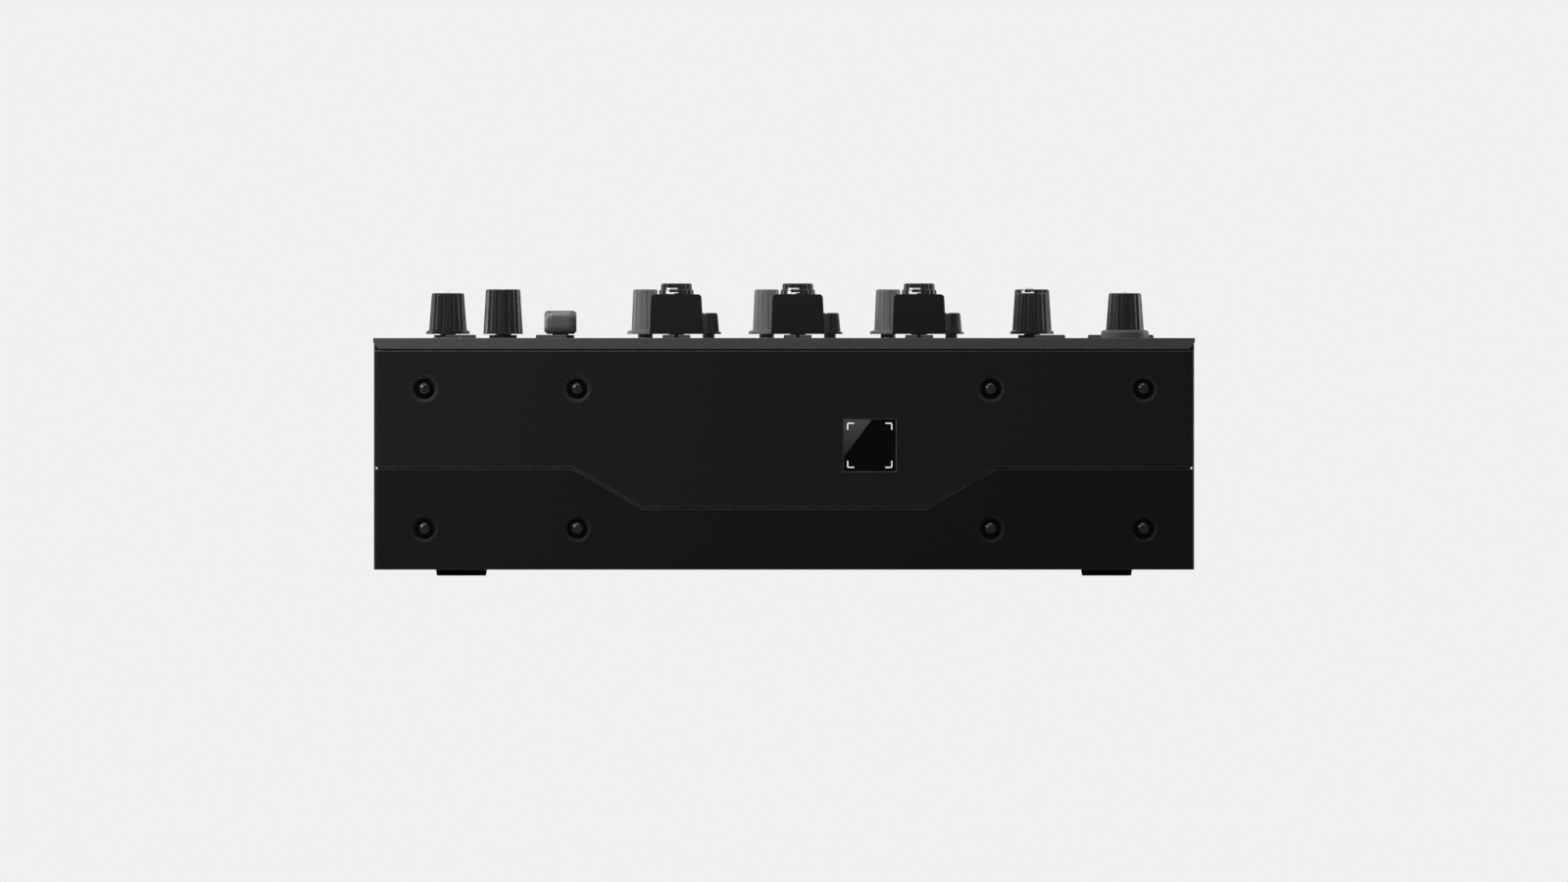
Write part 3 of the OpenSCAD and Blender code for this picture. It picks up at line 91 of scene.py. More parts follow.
class Shader:
    """A node-based material, with short calls for the nodes it is made of."""

    def __init__(self, name):
        self.material = bpy.data.materials.new(name)
        self.material.use_nodes = True
        self.tree = self.material.node_tree
        self.tree.nodes.clear()
        self.output = self.tree.nodes.new("ShaderNodeOutputMaterial")
        self.coords = self.tree.nodes.new("ShaderNodeTexCoord").outputs["Object"]

    def put(self, socket, value):
        """Links an output to a socket, or sets the socket's own value."""
        if isinstance(value, bpy.types.NodeSocket):
            self.tree.links.new(value, socket)
        elif socket.type == "RGBA" and len(value) == 3:
            socket.default_value = (*value, 1)
        else:
            socket.default_value = value

    def math(self, operation, *values):
        """A sum, product or comparison of values."""
        node = self.tree.nodes.new("ShaderNodeMath")
        node.operation = operation
        for socket, value in zip(node.inputs, values):
            self.put(socket, value)
        return node.outputs[0]

    def noise(self, scale, detail, roughness=0.5, stretch=None):
        """Cloudy noise, finer along the axes that stretch names."""
        node = self.tree.nodes.new("ShaderNodeTexNoise")
        self.put(node.inputs["Scale"], scale)
        self.put(node.inputs["Detail"], detail)
        self.put(node.inputs["Roughness"], roughness)
        self.put(node.inputs["Vector"], self.scaled(stretch) if stretch else self.coords)
        return node.outputs["Fac"]

    def cells(self, scale):
        """The distance to the nearest of many scattered points."""
        node = self.tree.nodes.new("ShaderNodeTexVoronoi")
        self.put(node.inputs["Scale"], scale)
        self.put(node.inputs["Vector"], self.coords)
        return node.outputs["Distance"]

    def scaled(self, factors):
        """The coordinates, scaled along each axis."""
        node = self.tree.nodes.new("ShaderNodeMapping")
        self.put(node.inputs["Vector"], self.coords)
        node.inputs["Scale"].default_value = factors
        return node.outputs[0]

    def split(self):
        """The X, Y and Z of a point."""
        node = self.tree.nodes.new("ShaderNodeSeparateXYZ")
        self.put(node.inputs[0], self.coords)
        return node.outputs

    def remap(self, value, low, high, to_low=0.0, to_high=1.0):
        """A value taken from one span to another, and held at its ends."""
        node = self.tree.nodes.new("ShaderNodeMapRange")
        self.put(node.inputs["Value"], value)
        limits = {"From Min": low, "From Max": high, "To Min": to_low, "To Max": to_high}
        for key, amount in limits.items():
            self.put(node.inputs[key], amount)
        return node.outputs[0]

    def mix(self, factor, a, b):
        """A colour between two others."""
        node = self.tree.nodes.new("ShaderNodeMix")
        node.data_type = "RGBA"
        self.put(node.inputs[0], factor)
        self.put(node.inputs[6], a)
        self.put(node.inputs[7], b)
        return node.outputs[2]

    def edge(self, radius):
        """The rounded normal of a bevelled edge, and how near a point is to one."""
        bevel = self.tree.nodes.new("ShaderNodeBevel")
        bevel.samples = 6
        self.put(bevel.inputs["Radius"], radius)
        geometry = self.tree.nodes.new("ShaderNodeNewGeometry")
        dot = self.tree.nodes.new("ShaderNodeVectorMath")
        dot.operation = "DOT_PRODUCT"
        self.put(dot.inputs[0], bevel.outputs[0])
        self.put(dot.inputs[1], geometry.outputs["Normal"])
        return bevel.outputs[0], self.math("SUBTRACT", 1.0, dot.outputs["Value"])

    def bump(self, height, distance, strength, normal=None):
        node = self.tree.nodes.new("ShaderNodeBump")
        self.put(node.inputs["Height"], height)
        self.put(node.inputs["Distance"], distance)
        self.put(node.inputs["Strength"], strength)
        if normal is not None:
            self.put(node.inputs["Normal"], normal)
        return node.outputs[0]

    def surface(self, **settings):
        """Ends the material in a Principled shader with these inputs."""
        node = self.tree.nodes.new("ShaderNodeBsdfPrincipled")
        for key, value in settings.items():
            self.put(node.inputs[key.replace("_", " ")], value)
        self.tree.links.new(node.outputs[0], self.output.inputs[0])
        return self.material


# ---------- materials ----------

def coated_metal(name, color, edge_wear_and_highlight, roughness, gloss, grain=0.35 * MM, edge_r=0.3 * MM, painted_recess_shade=None):
    """Fine powder coat: a pebbled bump, a faint cloudiness, and edges made lighter, partly as rubbed
    wear and partly as a painted highlight.
    Where the optional recess mask is 1, shade is painted in: the colour goes near black."""
    s = Shader(name)
    normal, edge = s.edge(edge_r)
    pebbles = s.noise(1 / grain, 2.0)
    cloud = s.noise(9.0, 4.0)
    rub = s.noise(180.0, 3.0)
    # edges lighter: partly rubbed wear, partly a painted highlight along the edges
    wear_and_highlight = s.math("MULTIPLY", s.remap(edge, 0.02, 0.2), s.remap(rub, 0.2, 0.6, 0.45, 1.0))
    base = s.mix(s.remap(cloud, 0.3, 0.7, 0.0, 0.3), color, tuple(1.2 * c for c in color))
    glint = tuple(1.7 * c for c in color)
    speckled = s.mix(s.remap(pebbles, 0.6, 0.85, 0.0, 0.6), base, glint)
    shade = s.mix(wear_and_highlight, speckled, edge_wear_and_highlight)
    if painted_recess_shade is not None:
        # painted shade: near black inside the screw recesses
        shade = s.mix(painted_recess_shade(s), shade, PAINTED_SHADE_BLACK)
    return s.surface(
        Base_Color=shade,
        Roughness=s.remap(pebbles, 0.2, 0.8, roughness - 0.06, roughness + 0.08),
        Specular_IOR_Level=gloss,
        Normal=s.bump(pebbles, 0.02 * MM, 0.5, normal))


def moulded_plastic(name, color, roughness, gloss=0.35, metal=None, steel=BRIGHT_STEEL,
                    edge_r=0.15 * MM):
    """Satin moulded plastic: spark-eroded grain, handling shine in patches, soft edges.
    Where the mask made by metal is 1, the piece is steel instead."""
    s = Shader(name)
    grain = 0.12 * MM
    normal, edge = s.edge(edge_r)
    grain_noise = s.noise(1 / grain, 3.0)
    handling = s.noise(70.0, 3.0)
    base = s.mix(s.remap(handling, 0.35, 0.7, 0.0, 0.3), color, tuple(1.35 * c for c in color))
    edged = s.mix(s.remap(edge, 0.05, 0.3, 0.0, 0.5), base, tuple(2.2 * c for c in color))
    rough = s.math("ADD", s.remap(grain_noise, 0.3, 0.7, -0.04, 0.05),
                   s.remap(handling, 0.35, 0.7, roughness + 0.04, roughness - 0.06))
    settings = {"Specular_IOR_Level": gloss}
    if metal is not None:
        mask = metal(s)
        edged = s.mix(mask, edged, steel)
        rough = s.math("MULTIPLY_ADD", mask, -0.12, rough)
        settings["Metallic"] = mask
    return s.surface(
        Base_Color=edged,
        Roughness=rough,
        Normal=s.bump(grain_noise, 0.008 * MM, 0.5, normal),
        **settings)


def below(height):
    """A mask for what lies under a height."""
    return lambda s: s.math("LESS_THAN", s.split()[2], height)


def above(height):
    """A mask for what lies over a height."""
    return lambda s: s.math("GREATER_THAN", s.split()[2], height)


def behind(y):
    """A mask for what lies behind a place."""
    return lambda s: s.math("GREATER_THAN", s.split()[1], y)


def gloss_panel(name, color, gloss, painted_reflection=None):
    """Polished black plastic with faint smears and dust, and a painted reflection, a lighter patch
    where a mask says.
    """
    s = Shader(name)
    normal, _ = s.edge(0.2 * MM)
    smears = s.noise(45.0, 5.0, 0.6, (1, 1, 3))
    dust = s.cells(900.0)
    base = s.mix(s.remap(dust, 0.05, 0.0, 0.0, 0.12), color, linear("505052"))
    if painted_reflection is not None:
        # painted reflection: the upper left of the window is made lighter
        base = s.mix(painted_reflection(s), base, linear("3c3c3d"))
    return s.surface(
        Base_Color=base,
        Roughness=s.remap(smears, 0.35, 0.75, 0.05, 0.16),
        Specular_IOR_Level=gloss,
        Normal=normal)


def window_haze(s):
    """A painted reflection: lighter in the upper left, up to a slanting line from the window's top
    edge to its left edge, and fading downwards.
    """
    low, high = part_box("front_window")
    size = high.x - low.x
    x, _, z = s.split()
    right = s.math("SUBTRACT", x, low.x)
    down = s.math("SUBTRACT", high.z, z)
    run = 0.54 * size
    drop = 0.72 * size
    line = s.math("ADD", s.math("DIVIDE", right, run), s.math("DIVIDE", down, drop))
    fade = s.remap(down, 0.0, 0.75 * size, 1.0, 0.2)
    return s.math("MULTIPLY", s.remap(line, 1.03, 0.97), fade)


def machined_metal(name, color, roughness, scratches=(1, 1, 40)):
    """Plated or oxidised steel: fine drawn lines and a mottled tone."""
    s = Shader(name)
    normal, edge = s.edge(0.12 * MM)
    lines = s.noise(700.0, 4.0, 0.6, scratches)
    mottle = s.noise(300.0, 3.0)
    shade = s.mix(s.remap(mottle, 0.3, 0.7, 0.0, 0.5), color, tuple(0.72 * c for c in color))
    rubbed = tuple(min(1, 1.6 * c) for c in color)
    return s.surface(
        Base_Color=s.mix(s.remap(edge, 0.03, 0.25, 0.0, 0.6), shade, rubbed),
        Metallic=1.0,
        Roughness=s.remap(lines, 0.3, 0.7, roughness - 0.08, roughness + 0.1),
        Normal=s.bump(lines, 0.01 * MM, 0.4, normal))


def soft_rubber(name, color, roughness, gloss=0.3):
    """Matt rubber with a fine stipple and a little bloom."""
    s = Shader(name)
    normal, _ = s.edge(0.3 * MM)
    stipple = s.cells(2600.0)
    bloom = s.noise(55.0, 4.0)
    return s.surface(
        Base_Color=s.mix(s.remap(bloom, 0.4, 0.75, 0.0, 0.35), color, tuple(1.9 * c for c in color)),
        Roughness=s.remap(bloom, 0.3, 0.7, roughness, roughness + 0.12),
        Specular_IOR_Level=gloss,
        Sheen_Weight=gloss / 4,
        Normal=s.bump(stipple, 0.02 * MM, 0.35, normal))


def circuit_board(name):
    """Green solder mask over straight copper tracks."""
    s = Shader(name)
    tracks = s.tree.nodes.new("ShaderNodeTexBrick")
    s.put(tracks.inputs["Vector"], s.coords)
    s.put(tracks.inputs["Scale"], 90.0)
    s.put(tracks.inputs["Mortar Size"], 0.03)
    glass = s.noise(2500.0, 2.0)
    return s.surface(
        Base_Color=s.mix(tracks.outputs["Fac"], linear("12472c"), linear("2a7a4c")),
        Roughness=s.remap(glass, 0.3, 0.7, 0.3, 0.42),
        Normal=s.bump(tracks.outputs["Fac"], 0.03 * MM, 0.6))


def paint(name, color):
    """Silk-screened ink: slightly uneven coverage."""
    s = Shader(name)
    cover = s.noise(2200.0, 3.0)
    return s.surface(
        Base_Color=s.mix(s.remap(cover, 0.3, 0.75, 0.0, 0.22), color, tuple(0.6 * c for c in color)),
        Roughness=s.remap(cover, 0.3, 0.7, 0.45, 0.55),
        Specular_IOR_Level=0.3)


def islands(node):
    """The boxes of a node's separate solids: vertices in one place are one, and edges join them."""
    mesh = NODES[node].data
    keys = [tuple(round(c, 6) for c in v.co) for v in mesh.vertices]
    leader = {key: key for key in keys}

    def find(key):
        while leader[key] != key:
            leader[key] = leader[leader[key]]
            key = leader[key]
        return key

    for edge in mesh.edges:
        a, b = (find(keys[i]) for i in edge.vertices)
        leader[a] = b
    groups = {}
    for key in leader:
        groups.setdefault(find(key), []).append(key)
    boxes = []
    for points in groups.values():
        axes = list(zip(*points))
        boxes.append((Vector([min(a) for a in axes]), Vector([max(a) for a in axes])))
    return boxes


def reach_from(s, axes):
    """The distance in X and Z to the nearest of some axes."""
    x, _, z = s.split()
    best = None
    for place in axes:
        dx = s.math("POWER", s.math("SUBTRACT", x, place.x), 2.0)
        dz = s.math("POWER", s.math("SUBTRACT", z, place.z), 2.0)
        gap = s.math("ADD", dx, dz)
        best = gap if best is None else s.math("MINIMUM", best, gap)
    return s.math("SQRT", best)


def centres(values):
    """The middles of the clusters in some values."""
    gap = 3 * MM
    values = sorted(values)
    ends = [i for i in range(1, len(values)) if values[i] - values[i - 1] > gap]
    starts = [0] + ends
    stops = ends + [len(values)]
    return [(values[a] + values[b - 1]) / 2 for a, b in zip(starts, stops)]


def phono_axes():
    """The X and Z places of the phono sockets, from the rims of their shells."""
    rim_out = 8.5 * MM
    rims = [v.co for v in NODES["phono_sockets"].data.vertices if v.co.y > REAR_Y + rim_out]
    return centres([rim.x for rim in rims]), centres([rim.z for rim in rims])


def phono_material(name):
    """A black block behind plated shells, which hold a white core below and a red one above."""
    columns, rows = phono_axes()
    shells = [Vector((x, REAR_Y, z)) for x in columns for z in rows]
    row_split = sum(rows) / len(rows)
    s = Shader(name)
    _, y, z = s.split()
    normal, _ = s.edge(0.1 * MM)
    lines = s.noise(900.0, 3.0, 0.5, DRAWN_ACROSS)
    out = s.math("GREATER_THAN", y, REAR_Y + HAIR)
    core_r = 2.9 * MM
    ring = s.math("GREATER_THAN", reach_from(s, shells), core_r)
    metal = s.math("MULTIPLY", out, ring)
    core = s.mix(s.math("GREATER_THAN", z, row_split), linear("d4d4d0"), linear("a01a1c"))
    return s.surface(
        Base_Color=s.mix(out, linear("1a1a1b"), s.mix(ring, core, linear("b9bbbe"))),
        Metallic=metal,
        Roughness=s.remap(lines, 0.3, 0.7, 0.22, 0.4),
        Normal=s.bump(lines, 0.01 * MM, 0.3, normal))


def xlr_pins(s):
    """The three pins in each XLR socket, told by their distance from its axis."""
    axes = [(low + high) / 2 for low, high in islands("xlr_sockets")]
    floor_t = 2.05 * MM
    pins_r = 8 * MM
    cup_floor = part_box("xlr_sockets")[0].y + floor_t
    _, y, _ = s.split()
    near = s.math("LESS_THAN", reach_from(s, axes), pins_r)
    return s.math("MULTIPLY", near, s.math("GREATER_THAN", y, cup_floor))


def screw_recesses(s):
    """The inside of the recess round each case screw, where shade is painted."""
    axes = [(low + high) / 2 for low, high in islands("case_screws")]
    _, y, _ = s.split()
    recess_r = 3.9 * MM
    lip_depth = 0.35 * MM
    near = s.math("LESS_THAN", reach_from(s, axes), recess_r)
    return s.math("MULTIPLY", near, s.math("GREATER_THAN", y, FRONT_Y + lip_depth))


CAP_LOW_Z = TOP_Z + 1.44 * MM     # under the knobs and fader caps there is only steel
# In each coat the second colour is for its edges: partly rubbed wear, partly a painted highlight.
MATERIALS = {
    "upper_case": coated_metal("upper_coat", linear("111111"), linear("666666"), 0.5, 0.04,
                               edge_r=0.5 * MM, painted_recess_shade=screw_recesses),
    "lower_case": coated_metal("lower_coat", linear("0c0c0c"), linear("565656"), 0.52, 0.04,
                               edge_r=0.4 * MM, painted_recess_shade=screw_recesses),
    "top_panel": coated_metal("panel_coat", linear("323232"), linear("6a6a6a"), 0.42, 0.12,
                              grain=0.22 * MM),
    "rear_panel": coated_metal("rear_coat", linear("181818"), linear("4a4a4a"), 0.5, 0.08),
    "front_window": gloss_panel("window_gloss", linear("040404"), 0.025, window_haze),
    "front_bracket": machined_metal("bracket_zinc", linear("9a9ca0"), 0.36, DRAWN_ACROSS),
    "case_screws": machined_metal("screw_oxide", linear("262627"), 0.26),
    "rubber_feet": soft_rubber("foot_rubber", linear("090909"), 0.85, 0.02),
    "main_board": circuit_board("board_green"),
    "control_board": circuit_board("control_green"),
    "power_supply": machined_metal("supply_zinc", linear("a8aaad"), 0.36, DRAWN_ACROSS),
    "potentiometers": machined_metal("pot_zinc", linear("9c9ea2"), 0.34),
    "knob_nuts": machined_metal("nut_black", linear("262628"), 0.34),
    "fader_units": machined_metal("fader_steel", linear("8c8e92"), 0.35, DRAWN_ACROSS),
    "level_meters": gloss_panel("meter_lens", linear("0b0b0d"), 0.4),
    "display_window": gloss_panel("display_lens", linear("08080a"), 0.5),
    "phono_sockets": phono_material("phono_plate"),
    "xlr_sockets": moulded_plastic("xlr_nylon", linear("1c1c1e"), 0.4, 0.3, xlr_pins),
    "line_jacks": moulded_plastic("jack_nylon", linear("18181a"), 0.42, 0.3, behind(REAR_Y + HAIR)),
    "data_ports": machined_metal("port_nickel", linear("b0b2b6"), 0.25, DRAWN_ACROSS),
    "power_inlet": moulded_plastic("inlet_nylon", linear("131315"), 0.45),
    "headphone_jacks": moulded_plastic("phones_nylon", linear("1e1e20"), 0.4, 0.3, above(TOP_Z + HAIR),
                                       PORT_STEEL),
    "ground_terminals": machined_metal("ground_nickel", linear("b4b2aa"), 0.28),
    "effect_button": soft_rubber("effect_silicone", linear("343437"), 0.5),
    "power_switch": moulded_plastic("rocker_plastic", linear("101011"), 0.35),
}
UNDER_CAP = below(CAP_LOW_Z)
KNOB_BLACK = moulded_plastic("knob_black", linear("161617"), 0.3, 0.14, UNDER_CAP, DARK_STEEL)
KNOB_GREY = moulded_plastic("knob_grey", linear("565658"), 0.36, 0.2, UNDER_CAP, DARK_STEEL)
SELECTOR = moulded_plastic("selector_satin", linear("303032"), 0.17, 0.9, UNDER_CAP, DARK_STEEL,
                           edge_r=4 * MM)
FADER_BLACK = moulded_plastic("fader_black", linear("141415"), 0.5, 0.05, UNDER_CAP, DARK_STEEL)
BUTTON_RUBBER = soft_rubber("button_silicone", linear("2e2e31"), 0.5)
INK_WHITE = paint("ink_white", linear("f0f0ee"))
INK_GREY = paint("ink_grey", linear("8d8d8f"))


def material_for(name):
    """The material of a CAD node."""
    if name in MATERIALS:
        return MATERIALS[name]
    if name.endswith("filter_knob"):
        return KNOB_GREY
    if name == "effect_selector_knob":
        return SELECTOR
    if name.endswith("_knob"):
        return KNOB_BLACK
    if name.endswith("_fader"):
        return FADER_BLACK
    return BUTTON_RUBBER


def dress_nodes():
    """Gives every CAD node its material."""
    for name, node in NODES.items():
        node.data.materials.clear()
        node.data.materials.append(material_for(name))


# ---------- new pieces ----------

def finish_piece(name, mesh, material, body):
    """Makes a mesh into a piece that rides on a body."""
    piece = bpy.data.meshes.new(name)
    mesh.to_mesh(piece)
    mesh.free()
    piece.materials.append(material)
    result = bpy.data.objects.new(name, piece)
    bpy.context.scene.collection.objects.link(result)
    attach(result, body)


def add_slab(mesh, points, thickness, up=Vector((0, 0, 1))):
    """Adds a thin closed prism over a flat outline of points."""
    low = [mesh.verts.new(p) for p in points]
    high = [mesh.verts.new(Vector(p) + up * thickness) for p in points]
    mesh.faces.new(list(reversed(low)))
    mesh.faces.new(high)
    count = len(points)
    for i in range(count):
        j = (i + 1) % count
        mesh.faces.new((low[i], low[j], high[j], high[i]))


def bar_points(x, y, w, l, z, turn=0.0):
    """The corners of a bar on the panel, turned about its own centre."""
    spin = Matrix.Rotation(turn, 3, "Z")
    corners = ((-w / 2, -l / 2), (w / 2, -l / 2), (w / 2, l / 2), (-w / 2, l / 2))
    return [spin @ Vector((cx, cy, 0)) + Vector((x, y, z)) for cx, cy in corners]


def add_digits(mesh, text, x, y, z, size, turn_x=0.0, turn_z=0.0):
    """Adds centred digits as thin solids, on the panel or, with turns, on a wall."""
    curve = bpy.data.curves.new("digits", "FONT")
    curve.body = text
    curve.size = size
    curve.align_x = "CENTER"
    curve.align_y = "CENTER"
    curve.extrude = INK / 2
    curve.resolution_u = 3
    holder = bpy.data.objects.new("digits", curve)
    bpy.context.scene.collection.objects.link(holder)
    bpy.context.view_layer.update()
    graph = bpy.context.evaluated_depsgraph_get()
    flat = bpy.data.meshes.new_from_object(holder.evaluated_get(graph))
    flat.transform(Matrix.Translation((x, y, z))
                   @ Matrix.Rotation(turn_z, 4, "Z")
                   @ Matrix.Rotation(turn_x, 4, "X"))
    mesh.from_mesh(flat)
    bpy.data.objects.remove(holder)
    bpy.data.curves.remove(curve)
    bpy.data.meshes.remove(flat)


TICK_COUNT = 11
TICK_W = 0.35 * MM
DIGIT_SIZE = 2.4 * MM
SWEEP = math.radians(300)


def from_knob(centre, reach, angle):
    """The X and Y of a place at a reach and an angle from a knob's middle."""
    return centre.x + reach * math.cos(angle), centre.y + reach * math.sin(angle)


def add_dial(ticks, digits, centre, radius):
    """Ticks round a knob, with plain numbers at the ends of its sweep."""
    long_tick = 1.9 * MM
    short_tick = 1.2 * MM
    number_gap = 3.4 * MM
    for i in range(TICK_COUNT):
        angle = NORTH + SWEEP / 2 - SWEEP * i / (TICK_COUNT - 1)
        tick_l = long_tick if i in (0, TICK_COUNT // 2, TICK_COUNT - 1) else short_tick
        x, y = from_knob(centre, radius + tick_l / 2, angle)
        add_slab(ticks, bar_points(x, y, TICK_W, tick_l, PRINT_Z, angle - NORTH), INK)
    for text, angle in (("0", SWEEP / 2), ("10", -SWEEP / 2)):
        x, y = from_knob(centre, radius + number_gap, NORTH + angle)
        add_digits(digits, text, x, y, DIGIT_Z, DIGIT_SIZE)


def add_steps(ticks, digits, centre, radius):
    """A tick and a number for each of the selector's four steps."""
    tick_w = 0.4 * MM
    tick_l = 1.6 * MM
    number_gap = 2.4 * MM
    reach = radius + 2 * MM
    for i in range(4):
        angle = math.radians(150 - 40 * i)
        x, y = from_knob(centre, reach, angle)
        add_slab(ticks, bar_points(x, y, tick_w, tick_l, PRINT_Z, angle - NORTH), INK)
        x, y = from_knob(centre, reach + number_gap, angle)
        add_digits(digits, str(i + 1), x, y, DIGIT_Z, DIGIT_SIZE)


def print_panel():
    """All the printing on the top panel: white numbers, grey ticks and rules."""
    knob_gap = 2.2 * MM
    ticks = bmesh.new()
    digits = bmesh.new()
    for name in KNOBS:
        low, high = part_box(name)
        radius = (high.x - low.x) / 2 + knob_gap
        add_marks = add_steps if name == "effect_selector_knob" else add_dial
        add_marks(ticks, digits, middle(name), radius)
    for c in CHANNELS:
        print_channel(ticks, digits, c)
    print_sections(ticks)
    finish_piece("panel_ticks", ticks, INK_GREY, "chassis")
    finish_piece("panel_numbers", digits, INK_WHITE, "chassis")


def print_channel(ticks, digits, c):
    """A channel's fader scale and its number."""
    fader = middle(f"ch{c}_fader")
    travel = joint_of(f"ch{c}_fader")["range_m"][1]
    long_tick = 4.2 * MM
    short_tick = 2.6 * MM
    tick_gap = 6.4 * MM
    number_gap = 12.4 * MM
    scale_size = 2.6 * MM
    channel_size = 7 * MM
    for i in range(TICK_COUNT):
        y = fader.y + travel * i / (TICK_COUNT - 1)
        tick_l = long_tick if i % 5 == 0 else short_tick
        for side in (-1, 1):
            add_slab(ticks, bar_points(fader.x + side * tick_gap, y, tick_l, TICK_W, PRINT_Z), INK)
        if i % 5 == 0:
            add_digits(digits, str(i), fader.x - number_gap, y, DIGIT_Z, scale_size)
    top_knob = middle(f"ch{c}_trim_knob")
    add_digits(digits, str(c), top_knob.x, top_knob.y + 22 * MM, DIGIT_Z, channel_size)


def print_sections(ticks):
    """Thin rules between the channels and round the side strips."""
    columns = [middle(f"ch{c}_fader").x for c in CHANNELS]
    half_pitch = (columns[1] - columns[0]) / 2
    outset = 1 * MM
    rule_w = 0.25 * MM
    low_y = FRONT_Y + 14 * MM
    high_y = REAR_Y - 16 * MM
    rules = [columns[0] - half_pitch - outset, columns[0] + half_pitch,
             columns[1] + half_pitch, columns[2] + half_pitch + outset]
    for x in rules:
        add_slab(ticks, bar_points(x, (low_y + high_y) / 2, rule_w, high_y - low_y, PRINT_Z), INK)


def knob_angle(name):
    """Where a knob points at rest: a knob that only turns one way rests at its lower stop."""
    at_stop = joint_of(name)["range_deg"][0] == 0
    return NORTH + SWEEP / 2 if at_stop else NORTH


def add_profile(mesh, axis, angle, outline, half):
    """Adds a closed prism whose outline, in reach and height, stands across a knob's reading."""
    aim = Vector((math.cos(angle), math.sin(angle), 0))
    side = Vector((-aim.y, aim.x, 0))
    points = [Vector((axis.x, axis.y, 0)) + aim * r - side * half + Vector((0, 0, z))
              for r, z in outline]
    add_slab(mesh, points, 2 * half, side)


def add_shoulder(mesh, axis, start, sweep, r, low, high):
    """Adds a thin band round a knob's shoulder, over part of a turn."""
    steps = 8
    rings = []
    for i in range(steps + 1):
        angle = start + sweep * i / steps
        aim = Vector((math.cos(angle), math.sin(angle), 0))
        rings.append([mesh.verts.new(Vector((axis.x, axis.y, z)) + aim * reach)
                      for reach, z in ((r, low), (r + 2 * INK, low), (r + 2 * INK, high), (r, high))])
    for a, b in zip(rings, rings[1:]):
        for i in range(4):
            j = (i + 1) % 4
            mesh.faces.new((a[i], a[j], b[j], b[i]))
    mesh.faces.new(list(reversed(rings[0])))
    mesh.faces.new(rings[-1])


EDGE_R = 0.7 * MM         # round edge at a knob's top
RISE = 0.5 * MM           # how far a raised bar stands over the top
BAR_HALF = 0.6 * MM       # half the width of a bar or a sunk line
BAR_START = 0.2 * MM      # where a bar starts, out from the knob's axis
BAR_INSET = 0.28 * MM     # how far inside the rim a bar ends
BAR_DROP = 1.7 * MM       # how far down from the top the white runs
BAND_H = 0.6 * MM         # height of the white band round the shoulder
BAND_TURN = math.radians(36)
SUNK = 0.3 * MM           # depth of a sunk line
SKIRT = 4 * MM            # height over the panel from which the cap's side is straight
FLUSH = ("trim_knob", "filter_knob", "send_knob")     # knobs with a sunk line


def add_pointer(mesh, name):
    """White over a knob's raised bar and down its shoulder, or laid into its sunk line."""
    axis = Vector(joint_of(name)["pos_m"])
    angle = knob_angle(name)
    verts = [((v.co - axis).to_2d().length, v.co.z) for v in NODES[name].data.vertices]
    peak = max(z for _, z in verts)
    raised = not name.endswith(FLUSH)
    top = peak - RISE if raised else peak
    rim = max(r for r, z in verts if z > top - EDGE_R - 0.1 * MM)
    foot = max(r for r, z in verts if z > TOP_Z + SKIRT)
    lean = (foot - rim) / (top - EDGE_R - TOP_Z - SKIRT)
    if raised:
        end = rim - BAR_INSET + INK
        low = top - BAR_DROP
        flank = rim + lean * (top - EDGE_R - low) + 2 * INK
        outline = [(BAR_START, top), (end - 2 * INK, top), (rim - INK, top - EDGE_R),
                   (flank - 3 * INK, low), (flank, low), (rim + 2 * INK, top - EDGE_R),
                   (end, top - EDGE_R / 3), (end, peak + INK), (BAR_START, peak + INK)]
        add_profile(mesh, axis, angle, outline, BAR_HALF + INK)
        add_shoulder(mesh, axis, angle, BAND_TURN, flank - 3 * INK, low, low + BAND_H)
    else:
        start = 0.15 * rim
        in_z = top - SUNK
        foot_z = TOP_Z + SKIRT + (top - TOP_Z) / 3
        run = lean * (in_z - foot_z)
        down_side = [(rim - SUNK + run, foot_z), (rim - 2 * INK + run, foot_z),
                     (rim - 2 * INK, top - EDGE_R)]
        if name.endswith("send_knob"):
            down_side = []
        outline = [(start, in_z), (rim - EDGE_R, in_z), *down_side,
                   (rim - EDGE_R, top - 2 * INK), (start, top - 2 * INK)]
        add_profile(mesh, axis, angle, outline, BAR_HALF)


def knob_pointers():
    """The pointer of each round knob; the square selector has none."""
    for name in KNOBS:
        if name == "effect_selector_knob":
            continue
        mesh = bmesh.new()
        add_pointer(mesh, name)
        finish_piece(name.replace("_knob", "_pointer"), mesh, INK_WHITE, name)


def fader_lines():
    """The white line across the dip in each fader cap."""
    line_w = 0.8 * MM
    end_gap = 0.4 * MM
    for c in CHANNELS:
        name = f"ch{c}_fader"
        verts = [v.co for v in NODES[name].data.vertices]
        low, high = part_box(name)
        centre = middle(name).y
        dip = min(v.z for v in verts if abs(v.y - centre) < 1 * MM and v.z > high.z - 3 * MM)
        width = max(v.x for v in verts if v.z > high.z - 0.5 * MM) - middle(name).x
        mesh = bmesh.new()
        corners = bar_points(middle(name).x, centre, 2 * width - end_gap, line_w, dip + LIFT)
        add_slab(mesh, corners, INK)
        finish_piece(name + "_line", mesh, INK_WHITE, name)


METER_COLORS = (("green", 10, "2f8a46"), ("amber", 3, "b98a22"), ("red", 2, "a83226"))


